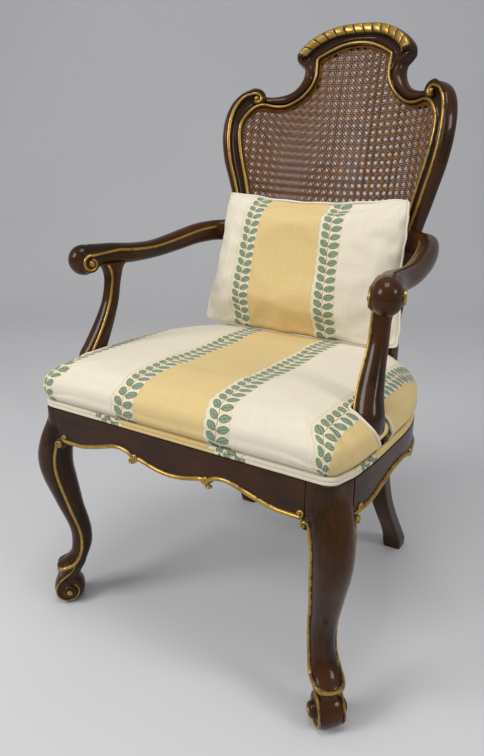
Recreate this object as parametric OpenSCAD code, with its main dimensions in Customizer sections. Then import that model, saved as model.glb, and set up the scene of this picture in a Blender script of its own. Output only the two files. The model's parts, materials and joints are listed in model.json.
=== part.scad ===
// Open armchair in the French taste: caned back, upholstered seat, cabriole legs.
// Origin: on the floor, under the middle of the chair. +Z is up, the sitter faces -Y.

/* [Seat frame] */
// Width across the side rails at their widest
seat_w = 634; // [616:2:652]
// Face of the front rail to the front of the rear posts
seat_d = 464; // [450:2:480]
// Height of the top edge of the show wood on the rails
rail_z = 440; // [430:1:450]
// Distance from the origin forward to the face of the front rail
front_face = 346; // [338:1:356]
// Thickness of the seat rails
rail_t = 28; // [25:1:31]
// Depth of the show wood where the rails meet the legs
apron_h = 64; // [58:1:68]
// Height of the rebated upper part of the rails, under the fabric
tack_h = 22; // [18:1:26]
// Step from the show wood back to the rebated part
tack_step = 14; // [12:1:15]
// Side of the square block at the top of each front leg
block_w = 50; // [46:1:54]

/* [Legs] */
// Width of the knee of a front leg, along its diagonal
knee_w = 66; // [60:1:70]
// Radius of the scroll foot
foot_r = 31; // [28:1:33]
// Length of the scroll foot across the diagonal
foot_len = 43; // [38:1:48]
// Radius of the button on each end of the scroll foot
foot_button_r = 15; // [13:1:18]
// How far a button stands out of the scroll foot
foot_button_h = 11; // [8:1:13]
// How far the foot leans out to the side, beyond the diagonal through the block
leg_splay = 9; // [6:1:11]
// Side of a rear leg
rear_leg_w = 39; // [36:1:42]
// Half the distance between the centre lines of the rear legs
rear_leg_x = 202; // [196:1:208]

/* [Back] */
// Half the width of the back at the shoulders, on its front face
back_half_w = 246; // [240:1:252]
// Height of the back frame, from its lower end to the crest
back_h = 575; // [560:5:590]
// Height of the lower end of the back frame above the floor
back_z = 578; // [570:1:586]
// Distance of that end behind the face of the front rail, on the centre line
back_d = 556; // [550:1:562]
// Angle that the back leans from the vertical
rake = 12.4; // [10:0.2:15]
// Radius that the back is bent to in plan
back_r = 345; // [335:5:380]
// Thickness of the back frame
back_t = 29; // [27:1:32]
// Depth of the hollow between the two gilt beads
cove = 4; // [2:0.5:6]
// Thickness of a caned panel
cane_t = 2.4; // [2:0.1:3]

/* [Arms] */
// Height of the middle of the arm at its front scroll
arm_z = 695; // [688:1:702]
// Radius of the front scroll of an arm
arm_scroll_r = 28; // [27:1:30]
// Width of an arm at its front scroll
arm_w = 44; // [40:1:48]

/* [Gilding] */
// Width of a gilt bead
bead_w = 8; // [6:0.5:9]
// Height of a gilt bead
bead_h = 4; // [3:0.5:5]
// Number of lobes on the gilt crest
lobes = 13; // [11:2:15]
// Width of the gilt crest
cap_w = 20; // [17:1:22]
// How far the gilt crest stands out
cap_h = 8; // [6:1:10]

/* [Upholstery] */
// Height of the crown of the seat above the show wood
crown_h = 88; // [80:1:96]
// Thickness of the cover with its wadding
cover_t = 6; // [4:0.5:6]
// Diameter of each cord of the double welt
welt_d = 7; // [6:0.5:8]
// Width of a webbing strap
strap_w = 44; // [40:1:46]
// Thickness of a webbing strap
strap_t = 1.6; // [1.4:0.1:2]
// Width of the pillow, as a share of the seat's
pillow_w_share = 0.71; // [0.68:0.005:0.72]
// Height of the pillow
pillow_h = 298; // [285:1:305]
// Thickness of the pillow at its middle
pillow_t = 110; // [90:5:120]
// Diameter of the cord round the pillow
piping_d = 7; // [5:0.5:8]
// Distance from the lower end of the back forward to the middle of the pillow
pillow_front = 95; // [92:1:104]

/* [Hidden] */

// Fineness of arcs and lofts
full_turn = 360;
$fn = 48;
leg_sides = 14;
arm_sides = 12;
// Clearance between pieces that only meet, and overrun of the cuts
gap = 0.3;
over = 1;

wood = [0.27, 0.13, 0.07];
gilt = [0.74, 0.58, 0.25];
cane = [0.55, 0.38, 0.2];
cloth = [0.9, 0.85, 0.72];
hidden_wood = [0.7, 0.55, 0.38];
jute = [0.72, 0.6, 0.4];
steel = [0.6, 0.6, 0.62];

function mix(a, b, t) = a + (b - a) * t;
function unit(v) = v / norm(v);
function sign_pow(s, p) = sign(s) * pow(abs(s), p);
function last(list) = list[len(list) - 1];
function flip_x(list) = [for (i = [len(list) - 1:-1:0]) [-list[i].x, list[i].y]];
// Distance behind the face of the front rail, as a place along Y
function back_of(d) = d - front_face;
// Direction of an open path at point i
function along(path, i) =
    unit(path[min(i + 1, len(path) - 1)] - path[max(i - 1, 0)]);
// The normal, to the left of a plane path
function left_of(path, i) = let(t = along(path, i)) [-t.y, t.x];
// A smooth curve through the points, with n steps between each pair
function curve(pts, n) = [
    for (i = [0:len(pts) - 2], k = [0:n - 1])
        let(
            a = pts[max(i - 1, 0)], b = pts[i], c = pts[i + 1],
            d = pts[min(i + 2, len(pts) - 1)], t = k / n
        )
        ((b * 2) + (c - a) * t + (a * 2 - b * 5 + c * 4 - d) * t * t
            + (b * 3 - a - c * 3 + d) * t * t * t) / 2,
    last(pts)
];

// Six times the volume inside a closed skin, negative where its faces point inward
function skin_volume(points, faces) = [
    for (f = faces, k = [1:len(f) - 2])
        cross(points[f[0]], points[f[k]]) * points[f[k + 1]]
] * [for (f = faces, k = [1:len(f) - 2]) 1];
// A skin over a row of rings, each with the same number of points
module loft(rings, closed = false) {
    n = len(rings[0]);
    m = len(rings);
    rows = closed ? m : m - 1;
    points = [for (r = rings) each r];
    sides = [
        for (i = [0:rows - 1], j = [0:n - 1])
            let(a = i * n + j, b = i * n + (j + 1) % n, k = ((i + 1) % m) * n)
            each [[a, b, k + (j + 1) % n], [a, k + (j + 1) % n, k + j]]
    ];
    ends = closed ? [] : [[for (j = [n - 1:-1:0]) j], [for (j = [0:n - 1]) (m - 1) * n + j]];
    faces = concat(sides, ends);
    outward = skin_volume(points, faces) < 0;
    polyhedron(points, outward ? faces : [for (f = faces) [for (k = [len(f) - 1:-1:0]) f[k]]]);
}

// Half-round section of a bead, as places across and out of its seat
bead_share = [[-0.5, 0.05], [-0.32, 0.75], [0, 1], [0.32, 0.75], [0.5, 0.05]];
bead_section = [for (s = bead_share) [s.x * bead_w, s.y * bead_h]];

// The back is a sheet bent to a radius and leaned back. A place on it is x across,
// v up the slope and w out of its front face.
function on_back(x, v, w) =
    let(
        turn = asin(x / back_r),
        in_front = back_r - (back_r - w) * cos(turn)
    )
    [
        (back_r - w) * sin(turn),
        back_of(back_d) + v * sin(rake) - in_front * cos(rake),
        back_z + v * cos(rake) + in_front * sin(rake)
    ];
// Place up the slope of a point on the front face, from its height over the frame's end
function slope_of(x, rise) =
    (rise - (back_r - sqrt(back_r * back_r - x * x)) * sin(rake)) / cos(rake);
module place_on_back() {
    translate([0, back_of(back_d), back_z]) rotate([-rake, 0, 0]) children();
}

// Right half of the back frame, from the foot of the stile to the top of the crest.
// Each row: outer x and rise, inner x and rise (shares of back_half_w and back_h), the
// width of the outer roll and of the seat for the gilding (shares of bead_w).
back_share = [
    [0.763, 0.020, 0.634, 0.015, 0.45, 1],
    [0.767, 0.113, 0.634, 0.110, 0.45, 1],
    [0.791, 0.209, 0.667, 0.203, 0.45, 1],
    [0.836, 0.308, 0.716, 0.304, 0.45, 1],
    [0.887, 0.384, 0.760, 0.379, 0.45, 1],
    [0.928, 0.449, 0.797, 0.447, 0.45, 1],
    [0.970, 0.517, 0.833, 0.517, 0.45, 1],
    [0.995, 0.586, 0.862, 0.562, 0.45, 1],
    [1.000, 0.635, 0.878, 0.609, 0.45, 1],
    [0.993, 0.678, 0.878, 0.642, 0.45, 1],
    [0.974, 0.715, 0.862, 0.666, 0.45, 1],
    [0.946, 0.742, 0.833, 0.687, 0.45, 1],
    [0.905, 0.763, 0.805, 0.701, 0.45, 1],
    [0.852, 0.775, 0.772, 0.710, 0.45, 1],
    [0.801, 0.776, 0.743, 0.712, 0.45, 1],
    [0.766, 0.767, 0.724, 0.712, 0.5, 1],
    [0.740, 0.755, 0.699, 0.710, 0.5, 1],
    [0.664, 0.753, 0.642, 0.705, 0.5, 1],
    [0.561, 0.764, 0.561, 0.708, 0.5, 1],
    [0.492, 0.787, 0.455, 0.732, 0.5, 1],
    [0.452, 0.822, 0.382, 0.763, 0.5, 1],
    [0.455, 0.857, 0.342, 0.793, 0.5, 1],
    [0.516, 0.881, 0.325, 0.823, 0.4, 2],
    [0.522, 0.899, 0.325, 0.854, 0.2, 2.7],
    [0.502, 0.919, 0.325, 0.878, 0.2, 2.7],
    [0.447, 0.943, 0.273, 0.892, 0.2, 2.7],
    [0.370, 0.966, 0.216, 0.904, 0.2, 2.7],
    [0.280, 0.983, 0.155, 0.914, 0.2, 2.7],
    [0.191, 0.993, 0.101, 0.920, 0.2, 2.7],
    [0.094, 0.998, 0.049, 0.923, 0.2, 2.7],
    [0.000, 1.000, 0.000, 0.924, 0.2, 2.7]
];
// The row at which the stile ends and the crest rail begins, and the last at the scroll
joint_row = 6;
scroll_row = 14;
crest_row = 22;
function outer_at(i) =
    let(s = back_share[i], x = s[0] * back_half_w)
    [x, i == 0 ? 0 : slope_of(x, s[1] * back_h)];
function inner_at(i) =
    let(s = back_share[i], x = s[2] * back_half_w)
    [x, i == 0 ? 0 : i == joint_row ? outer_at(i).y : slope_of(x, s[3] * back_h)];
function roll_at(i) = back_share[i][4] * bead_w;
function seat_at(i) = back_share[i][5] * bead_w;
last_row = len(back_share) - 1;

// Section of the back frame: places along the line from its inner to its outer edge,
// and out of the front face
edge = 3;
lip = 1;
run = 2;
function frame_section(width, roll, seat) = [
    [edge, -back_t], [0, edge - back_t], [0, -edge], [lip, 0], [lip + bead_w, 0],
    [lip + bead_w + run, -cove], [width - roll - seat - run, -cove],
    [width - roll - seat, 0], [width - roll, 0], [width - roll * 0.25, -back_t * 0.12],
    [width, -back_t * 0.35], [width - edge * 0.3, -back_t * 0.7],
    [width - edge * 1.2, -back_t * 0.92], [width - edge * 2.6, -back_t]
];
function frame_ring(inner, outer, roll, seat) =
    let(dir = unit(outer - inner), width = norm(outer - inner))
    [for (s = frame_section(width, roll, seat))
        let(p = inner + dir * s.x) on_back(p.x, p.y, s.y)];
function back_ring(i) = frame_ring(inner_at(i), outer_at(i), roll_at(i), seat_at(i));
function mirrored(ring) = [for (p = ring) [-p.x, p.y, p.z]];

// Rear post: rear leg and back stile in one piece. Rows of the leg: height (share of
// back_z), place across (share of rear_leg_x), place behind the straight part (share of
// seat_d), side (share of rear_leg_w)
rear_leg_share = [
    [0, 1, 0.228, 1.02], [0.03, 1, 0.22, 1.1], [0.07, 1, 0.195, 1.0],
    [0.127, 0.995, 0.149, 0.94], [0.2, 0.985, 0.088, 0.94], [0.29, 0.965, 0.03, 0.97],
    [0.4, 0.94, -0.002, 1], [0.52, 0.925, -0.002, 1], [0.635, 0.92, 0, 1],
    [0.845, 0.92, 0, 1], [0.9, 0.905, 0.022, 0.97], [0.955, 0.875, 0.05, 0.9]
];
post_section_share = [
    [0.15, -1], [0, -0.85], [0, -0.15], [0.1, 0], [0.25, 0], [0.4, 0], [0.6, 0],
    [0.75, 0], [0.85, 0], [0.96, -0.04], [1, -0.15], [1, -0.7], [0.97, -0.93], [0.85, -1]
];
function rear_leg_ring(row) =
    let(side = row[3] * rear_leg_w)
    [for (s = post_section_share) [
        row[1] * rear_leg_x + (s.x - 0.5) * side,
        back_of((1 + row[2]) * seat_d + rear_leg_w / 2 - (s.y + 0.5) * side),
        row[0] * back_z
    ]];
post_x = 0.92 * rear_leg_x;
module rear_post() {
    color(wood) difference() {
        loft(concat(
            [for (row = rear_leg_share) rear_leg_ring(row)],
            [for (i = [0:joint_row]) back_ring(i)]
        ));
        back_dowel(gap);
    }
}

// Crest rail: both shoulders, the necks and the crest, in one piece
module crest_rail() {
    half = [for (i = [joint_row:last_row]) back_ring(i)];
    other = [for (i = [last_row - 1:-1:joint_row]) mirrored(back_ring(i))];
    color(wood) difference() {
        union() {
            loft(concat(half, other));
            eye_boss();
            mirror([1, 0, 0]) eye_boss();
        }
        back_dowel(gap);
        mirror([1, 0, 0]) back_dowel(gap);
    }
}

// Dowel between a stile and the crest rail
dowel_d = 9;
dowel_l = 44;
module back_dowel(clear) {
    middle = (inner_at(joint_row) + outer_at(joint_row)) / 2;
    place_on_back() translate([
        (back_r + back_t / 2) * sin(asin(middle.x / back_r)),
        -back_r + (back_r + back_t / 2) * cos(asin(middle.x / back_r)),
        middle.y - dowel_l / 2 - clear
    ])
        cylinder(d = dowel_d + 2 * clear, h = dowel_l + 2 * clear, $fn = 32);
}
module back_dowels() {
    color(hidden_wood) {
        back_dowel(0);
        mirror([1, 0, 0]) back_dowel(0);
    }
}

// Bottom rail of the back, between the stiles. Rows: place across (share of its half
// length), rise of its top and its bottom edge (shares of back_h)
bottom_rail_share = [
    [0, 0.070, 0.006], [0.25, 0.071, 0.006], [0.5, 0.073, 0.010], [0.7, 0.077, 0.016],
    [0.85, 0.084, 0.018], [0.94, 0.095, 0.014], [1, 0.108, 0.006]
];
bottom_roll = 5;
function bottom_row(i) =
    let(s = bottom_rail_share[i], x = s[0] * inner_at(0).x)
    [[x, s[1] * back_h], [x, s[2] * back_h]];
function bottom_ring(i) =
    let(row = bottom_row(i)) frame_ring(row[0], row[1], bottom_roll, bead_w);
module back_bottom_rail() {
    n = len(bottom_rail_share) - 1;
    color(wood) loft(concat(
        [for (i = [n:-1:0]) bottom_ring(i)], [for (i = [1:n]) mirrored(bottom_ring(i))]
    ));
}

// Gilt beads of the back: half rounds that follow a path of [x, v] places
bead_rise = 2 * gap;
function bead_ring(path, i, rise = bead_rise, grow = 0) =
    let(side = left_of(path, i))
    [for (s = bead_share)
        let(p = path[i] + side * s.x * (bead_w + 2 * grow))
        on_back(p.x, p.y, s.y * (bead_h + grow) + rise)];
bead_in = lip + bead_w / 2;
function toward_outer(i) = unit(outer_at(i) - inner_at(i));
inner_bead_half = concat(
    [for (i = [last_row:-1:1]) inner_at(i) + toward_outer(i) * bead_in],
    [for (i = [len(bottom_rail_share) - 1:-1:0]) bottom_row(i)[0] - [0, bead_in]]
);
inner_bead_path = concat(
    inner_bead_half,
    [for (i = [len(inner_bead_half) - 2:-1:1])
        [-inner_bead_half[i].x, inner_bead_half[i].y]]
);
module inner_back_bead() {
    n = len(inner_bead_path);
    ring_path = concat([inner_bead_path[n - 1]], inner_bead_path, [inner_bead_path[0]]);
    color(gilt) loft([for (i = [1:n]) bead_ring(ring_path, i)], closed = true);
}

// A place on the front face of the back, and the raised boss under a shoulder scroll
module place_on_sheet(p) {
    place_on_back() translate([0, -back_r, 0]) rotate([0, 0, -asin(p.x / back_r)])
        translate([0, back_r, p.y]) rotate([90, 0, 0]) children();
}
eye_r = 4;
eye_share = [0.805, 0.743];
eye_at = [eye_share.x * back_half_w, slope_of(eye_share.x * back_half_w, eye_share.y * back_h)];
boss_r = 15;
boss_sides = 16;
boss_rise = 0.8;
function boss_ring(w) = [for (k = [0:boss_sides - 1])
    let(a = full_turn * k / boss_sides)
    on_back(eye_at.x + boss_r * cos(a), eye_at.y + boss_r * sin(a), w)];
module eye_boss() {
    loft([boss_ring(-back_t / 2), boss_ring(boss_rise)]);
}
// A gilt button with a domed face
button_share = [[0, 0], [1, 0], [1, 0.4], [0.75, 0.85], [0, 1]];
module button(r, h) {
    rotate_extrude() polygon([for (s = button_share) [s.x * r, s.y * h]]);
}

// Outer bead: from the knob at the foot of the stile up to the eye of the shoulder scroll
knob_r = 7;
curl_out = 11;
curl_in = 8;
outer_bead_line = [
    for (i = [0:scroll_row - 2]) outer_at(i) - toward_outer(i) * (roll_at(i) + seat_at(i) / 2)
];
curl_turns = [80, 120, 160, 200, 240, 280];
curl = [for (k = [0:len(curl_turns) - 1])
    eye_at + mix(curl_out, curl_in, k / (len(curl_turns) - 1))
        * [cos(curl_turns[k]), sin(curl_turns[k])]];
knob_at = [outer_bead_line[0].x, knob_r * 1.5];
module outer_back_bead() {
    path = concat(outer_bead_line, curl);
    n = len(outer_bead_line);
    color(gilt) {
        loft([for (i = [0:len(path) - 1]) bead_ring(path, i, i < n ? bead_rise : boss_rise + gap)]);
        place_on_sheet(eye_at) translate([0, 0, boss_rise + gap]) button(eye_r, bead_h);
        place_on_sheet(knob_at) translate([0, 0, gap]) button(knob_r, knob_r);
    }
}

// Gilt crest: lobes side by side along the top edge
lobe_steps = 4;
lobe_waist_share = 0.4;
lobe_share = [0.72, 0.97, 0.97, 0.72];
cap_section_share = [[0, 0.02], [0.08, 0.55], [0.3, 0.95], [0.6, 1], [0.88, 0.7], [1, 0.02]];
cap_path = [for (i = [last_row:-1:crest_row + 1])
    outer_at(i) - toward_outer(i) * (roll_at(i) + cap_w / 2)];
cap_line = concat(flip_x([for (i = [1:len(cap_path) - 1]) cap_path[i]]), cap_path);
module crest_gadroon() {
    smooth = curve(cap_line, 6);
    count = lobes * lobe_steps;
    function at(k) = let(
        i = (len(smooth) - 1) * k / (count - 1),
        a = floor(min(i, len(smooth) - 2))
    ) mix(smooth[a], smooth[a + 1], i - a);
    path = [for (k = [0:count - 1]) at(k)];
    color(gilt) loft([for (k = [0:count - 1])
        let(side = left_of(path, k), size = lobe_share[k % lobe_steps])
        [for (s = cap_section_share)
            let(p = path[k] + side * (s.x - 0.5) * cap_w * mix(1, size, lobe_waist_share))
            on_back(p.x, p.y, s.y * cap_h * size + bead_rise)]]);
}

// Caned panels: sheets bent to the back's radius, let into the frame's opening
cane_in = 6;
cane_clear = 2 * gap;
cane_half = concat(
    [for (i = [last_row:-1:1]) inner_at(i) - toward_outer(i) * cane_clear],
    [for (i = [len(bottom_rail_share) - 1:-1:0]) bottom_row(i)[0] + [0, cane_clear]]
);
cane_outline = concat(cane_half, flip_x(cane_half));
// Across a bent sheet, a place x on the front face lies at this chord
function chord(x, depth) = (back_r + depth) * x / back_r;
module cane_panel(depth) {
    far = back_r + depth;
    color(cane) place_on_back() intersection() {
        translate([0, -back_r, -over]) difference() {
            cylinder(r = far + cane_t, h = back_h * 1.2, $fn = 120);
            translate([0, 0, -over]) cylinder(r = far, h = back_h * 1.2 + 2 * over, $fn = 120);
        }
        rotate([90, 0, 0]) translate([0, 0, -back_r])
            linear_extrude(height = 2 * back_r)
                polygon([for (p = cane_outline) [chord(p.x, depth), p.y]]);
    }
}

// Outer edge of the side rails in plan: place across (share of half of seat_w) and
// behind the front rail's face (share of seat_d). It runs on past the rear post.
side_share = [
    [0.984, 0.108], [0.996, 0.2], [1, 0.3], [1, 0.42], [0.998, 0.54], [0.98, 0.65],
    [0.935, 0.755], [0.86, 0.855], [0.772, 0.935], [0.675, 1], [0.61, 1.035], [0.54, 1.07]
];
side_edge = [for (s = side_share) [s.x * seat_w / 2, s.y * seat_d]];
corner_share = 0.962;
corner_x = corner_share * seat_w / 2;
corner_r = 26;
block_in = corner_x - block_w;
corner_edge = [
    for (a = [0:15:90]) [corner_x - corner_r + corner_r * sin(a), corner_r - corner_r * cos(a)]
];
// The rails' outer face in plan, right half, from the middle of the front rail
seat_edge = concat([[0, 0], [block_in / 2, 0], [block_in, 0]], corner_edge, side_edge);
function inset(path, t) = [for (i = [0:len(path) - 1]) path[i] + left_of(path, i) * t];
module plan(points) {
    polygon([for (p = points) [p.x, back_of(p.y)]]);
}
module ring_plan(outer, inner) {
    plan(concat(outer, [for (i = [len(inner) - 1:-1:0]) inner[i]]));
}

// Lower edge of the front rail: place across (share of block_in), depth below its top
// edge (share of apron_h). The step at 0.3 is where two scrolls meet.
apron_share = [
    [0, 1.015], [0.08, 0.99], [0.16, 0.93], [0.23, 0.86], [0.262, 0.83], [0.285, 0.87],
    [0.305, 0.92], [0.33, 0.8], [0.37, 0.71], [0.44, 0.66], [0.51, 0.69], [0.58, 0.77],
    [0.65, 0.85], [0.73, 0.93], [0.81, 0.995], [0.9, 1.015], [1, 1.015]
];
function apron_edge(table, length) =
    [for (s = table) [s.x * length, rail_z - s.y * apron_h]];
tack_z = rail_z + tack_h;
module front_rail() {
    edge_line = apron_edge(apron_share, block_in);
    color(wood) difference() {
        union() {
            translate([0, back_of(rail_t), 0]) rotate([90, 0, 0])
                linear_extrude(height = rail_t)
                    polygon(concat(
                        flip_x(edge_line), [for (i = [1:len(edge_line) - 1]) edge_line[i]],
                        [[block_in, rail_z], [-block_in, rail_z]]
                    ));
            translate([-block_in, back_of(tack_step), rail_z - over])
                cube([2 * block_in, rail_t - tack_step, tack_h + over]);
        }
        for (side = [-1, 1]) scale_x(side) block_screw_front(gap);
    }
}
module scale_x(side) {
    if (side > 0) children();
    else mirror([1, 0, 0]) children();
}

// Lower edge of a side rail: place behind the front rail (share of seat_d), depth below
// its top edge (share of apron_h)
side_apron_share = [
    [0.108, 1.015], [0.2, 1.0], [0.25, 0.95], [0.3, 0.87], [0.36, 0.77], [0.42, 0.7],
    [0.5, 0.68], [0.54, 0.71], [0.58, 0.8], [0.6, 0.86], [0.625, 0.93], [0.65, 0.85],
    [0.69, 0.82], [0.755, 0.86], [0.81, 0.93], [0.855, 0.97], [0.9, 1.0], [0.935, 1.01], [1, 1.015]
];
module side_rail() {
    line = [for (s = side_apron_share) [back_of(s.x * seat_d), rail_z - s.y * apron_h]];
    color(wood) difference() {
        union() {
            intersection() {
                linear_extrude(height = rail_z)
                    ring_plan(side_edge, inset(side_edge, rail_t));
                rotate([90, 0, 90]) linear_extrude(height = seat_w)
                    polygon(concat(line, [[back_of(seat_d), rail_z], [back_of(block_w), rail_z]]));
            }
            intersection() {
                translate([0, 0, rail_z - over]) linear_extrude(height = tack_h + over)
                    ring_plan(inset(side_edge, tack_step), inset(side_edge, rail_t));
                translate([0, back_of(block_w), 0])
                    cube([seat_w, seat_d - block_w, tack_z + over]);
            }
        }
        post_notch();
        block_screw_side(gap);
        post_dowel(gap);
    }
}

// Rear rail, between the rear posts
rear_rail_back = 34;
rear_rail_h = 60;
rear_half = post_x - rear_leg_w / 2;
module rear_rail() {
    color(wood) difference() {
        translate([-rear_half, back_of(seat_d + rear_rail_back - rail_t), rail_z - rear_rail_h])
            cube([2 * rear_half, rail_t, rear_rail_h + tack_h]);
        translate([-seat_w / 2, back_of(seat_d + rear_rail_back - tack_step), rail_z])
            cube([seat_w, rail_t, tack_h + over]);
        for (side = [-1, 1]) scale_x(side) block_screw_rear(gap);
    }
}

// Front leg. Rows: height (share of rail_z), outer and inner edge along the diagonal and
// half the width across it (shares of knee_w), and squareness of the section
leg_share = [
    [0.984, 0.08, -0.67, 0.50, 1.3], [0.935, 0.14, -0.67, 0.515, 1.35],
    [0.89, 0.27, -0.64, 0.53, 1.5], [0.85, 0.38, -0.59, 0.53, 1.7],
    [0.803, 0.47, -0.53, 0.515, 1.9], [0.763, 0.515, -0.49, 0.5, 2],
    [0.707, 0.5, -0.485, 0.49, 2.1], [0.64, 0.395, -0.545, 0.47, 2.1],
    [0.57, 0.23, -0.61, 0.43, 2.1], [0.497, 0.06, -0.68, 0.385, 2.1],
    [0.425, -0.12, -0.785, 0.355, 2.1], [0.362, -0.225, -0.85, 0.335, 2.1],
    [0.3, -0.225, -0.835, 0.325, 2.1], [0.255, -0.165, -0.745, 0.34, 2.1],
    [0.219, 0.03, -0.65, 0.365, 2.1], [0.197, 0.23, -0.605, 0.38, 2.2],
    [0.186, 0.3, -0.575, 0.38, 2.2], [0.172, 0.18, -0.515, 0.35, 2.2],
    [0.139, 0.21, -0.41, 0.3, 2.2], [0.107, 0.24, -0.38, 0.29, 2.2]
];
leg_in = 10;
leg_back = 15;
foot_share = -0.045;
foot_flat = 1;
diagonal = [1, -1] / sqrt(2);
crosswise = [1, 1] / sqrt(2);
// A place on a right front leg: u out along the diagonal, s across it
function on_leg(u, s, z) =
    let(
        lean = leg_splay * (1 - z / rail_z),
        p = [corner_x - leg_in, back_of(leg_back)] + diagonal * u + crosswise * (s + lean)
    )
    [p.x, p.y, z];
// Above the lower edge of the rails the leg stays inside its block
function in_block(p) =
    p.z < rail_z - apron_h * 1.1 ? p
        : [max(p.x, block_in + gap), min(p.y, back_of(block_w) - gap), p.z];
function leg_ring(row) = [
    for (k = [0:leg_sides - 1])
        let(
            a = full_turn * k / leg_sides,
            outer = row[1] * knee_w, inner = row[2] * knee_w,
            u = (outer + inner) / 2 + (outer - inner) / 2 * sign_pow(cos(a), 2 / row[4]),
            s = row[3] * knee_w * sign_pow(sin(a), 2 / row[4])
        )
        in_block(on_leg(u, s, row[0] * rail_z))
];
module along_cross(u, z) {
    translate(on_leg(u, 0, z)) rotate([0, 90, 45]) children();
}
module leg_block() {
    points = concat([[block_in, 0]], corner_edge, [side_edge[0], [block_in, block_w]]);
    plan(points);
}
foot_z = foot_r - foot_flat;
module front_leg() {
    color(wood) difference() {
        union() {
            translate([0, 0, rail_z - apron_h]) linear_extrude(height = apron_h) leg_block();
            translate([0, 0, rail_z - over]) linear_extrude(height = tack_h + over)
                intersection() {
                    leg_block();
                    translate([-tack_step, tack_step]) leg_block();
                }
            loft([for (row = leg_share) leg_ring(row)]);
            along_cross(foot_share * knee_w, foot_z)
                cylinder(r = foot_r, h = foot_len, center = true);
            along_cross(foot_share * knee_w, foot_z)
                cylinder(r = foot_button_r, h = foot_len + 2 * foot_button_h, center = true);
        }
        translate([0, -seat_d, -foot_r]) cube([seat_w, seat_d, foot_r]);
    }
}

// A bead along a line of places, each with the direction in which it stands out
module line_bead(places, outs, closed = false) {
    n = len(places);
    color(gilt) loft([for (i = [0:n - 1])
        let(
            before = places[closed ? (i + n - 1) % n : max(i - 1, 0)],
            after = places[closed ? (i + 1) % n : min(i + 1, n - 1)],
            side = unit(cross(unit(after - before), outs[i]))
        )
        [for (s = bead_section) places[i] + side * s.x + outs[i] * s.y]], closed);
}

// Gilding of a front leg: a bead down one side, round the front of the cuff in a U, and up
// the other side; and the eyes of the foot
bead_first_row = 3;
bead_last_row = 14;
cuff_turns = [75, 50, 25, 0, -25, -50, -75];
cuff_share = [0.199, 0.191, 0.187, 0.186, 0.187, 0.191, 0.199];
leg_span = [for (i = [len(leg_share) - 1:-1:0]) leg_share[i]];
// The leg's table at any height
function leg_row(h) = [for (c = [0:4]) c == 0 ? h : lookup(h, [for (r = leg_span) [r[0], r[c]]])];
function leg_side(row, a) =
    let(outer = row[1] * knee_w, inner = row[2] * knee_w)
    on_leg(
        (outer + inner) / 2 + (outer - inner) / 2 * sign_pow(cos(a), 2 / row[4]),
        row[3] * knee_w * sign_pow(sin(a), 2 / row[4]), row[0] * rail_z
    );
function leg_out(a) = let(o = diagonal * cos(a) + crosswise * sin(a)) [o.x, o.y, 0];
quarter = 90;
module leg_beads() {
    down = [for (i = [bead_first_row:bead_last_row]) [leg_share[i], quarter]];
    cuff = [for (k = [0:len(cuff_turns) - 1]) [leg_row(cuff_share[k]), cuff_turns[k]]];
    line = concat(down, cuff, [for (i = [len(down) - 1:-1:0]) [down[i][0], -quarter]]);
    line_bead(
        [for (p = line) leg_side(p[0], p[1]) + leg_out(p[1]) * 2 * bead_rise],
        [for (p = line) leg_out(p[1])]
    );
    for (side = [-1, 1])
        color(gilt) along_cross(foot_share * knee_w, foot_z)
            translate([0, 0, side * (foot_len / 2 + foot_button_h + bead_h / 4)])
                cylinder(r = foot_button_r * 0.4, h = bead_h / 2, center = true);
}

// Gilding along the lower edge of the rails
module front_rail_bead() {
    edge_line = [for (s = apron_share)
        [s.x * (block_in - over), rail_z - s.y * apron_h + bead_w / 2 + over]];
    whole = concat(flip_x(edge_line), [for (i = [1:len(edge_line) - 1]) edge_line[i]]);
    line_bead([for (p = whole) [p.x, back_of(0), p.y]], [for (p = whole) [0, -1, 0]]);
}
function side_at(d) = lookup(d, [for (p = side_edge) [p.y, p.x]]);
module side_rail_bead() {
    rows = [for (s = side_apron_share) if (s.x < 0.99) s];
    places = [for (s = rows) let(d = s.x * seat_d)
        [side_at(d) + 2 * bead_rise, back_of(d), rail_z - s.y * apron_h + bead_w / 2 + over]];
    outs = [for (s = rows) let(d = s.x * seat_d, turn = side_at(d + run) - side_at(d - run))
        unit([2 * run, turn, 0])];
    line_bead(places, [for (o = outs) [o.x, -o.y, 0]]);
}

// Arm. Rows: across (share of half of seat_w), behind the front rail (share of seat_d),
// above arm_z, half width and half height (shares of arm_w)
arm_share = [
    [0.6, 1.172, 0.72, 0.38, 0.51], [0.715, 1.103, 0.66, 0.4, 0.52],
    [0.79, 1.052, 0.64, 0.409, 0.51], [0.838, 0.955, 0.545, 0.409, 0.5],
    [0.868, 0.849, 0.34, 0.398, 0.477], [0.884, 0.75, 0.173, 0.386, 0.444],
    [0.892, 0.664, 0.08, 0.386, 0.422], [0.894, 0.578, 0.07, 0.398, 0.432],
    [0.898, 0.504, 0.1, 0.42, 0.455], [0.912, 0.427, 0.15, 0.455, 0.48],
    [0.934, 0.362, 0.14, 0.477, 0.49], [0.953, 0.322, 0.08, 0.455, 0.475]
];
scroll_share = [0.968, 0.297];
arm_square = 2.3;
// The arm's rear end stays in the stile: the rows follow it, less and less to the front
arm_root_share = [0.742, 0.263];
arm_root = let(x = arm_root_share.x * back_half_w)
    on_back(x, slope_of(x, arm_root_share.y * back_h), -back_t / 2);
function arm_raw(i) = let(s = arm_share[i])
    [s[0] * seat_w / 2, back_of(s[1] * seat_d), arm_z + s[2] * arm_w];
function arm_at(i) =
    arm_raw(i) + (arm_root - arm_raw(0)) * pow(1 - i / (len(arm_share) - 1), 2);
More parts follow.
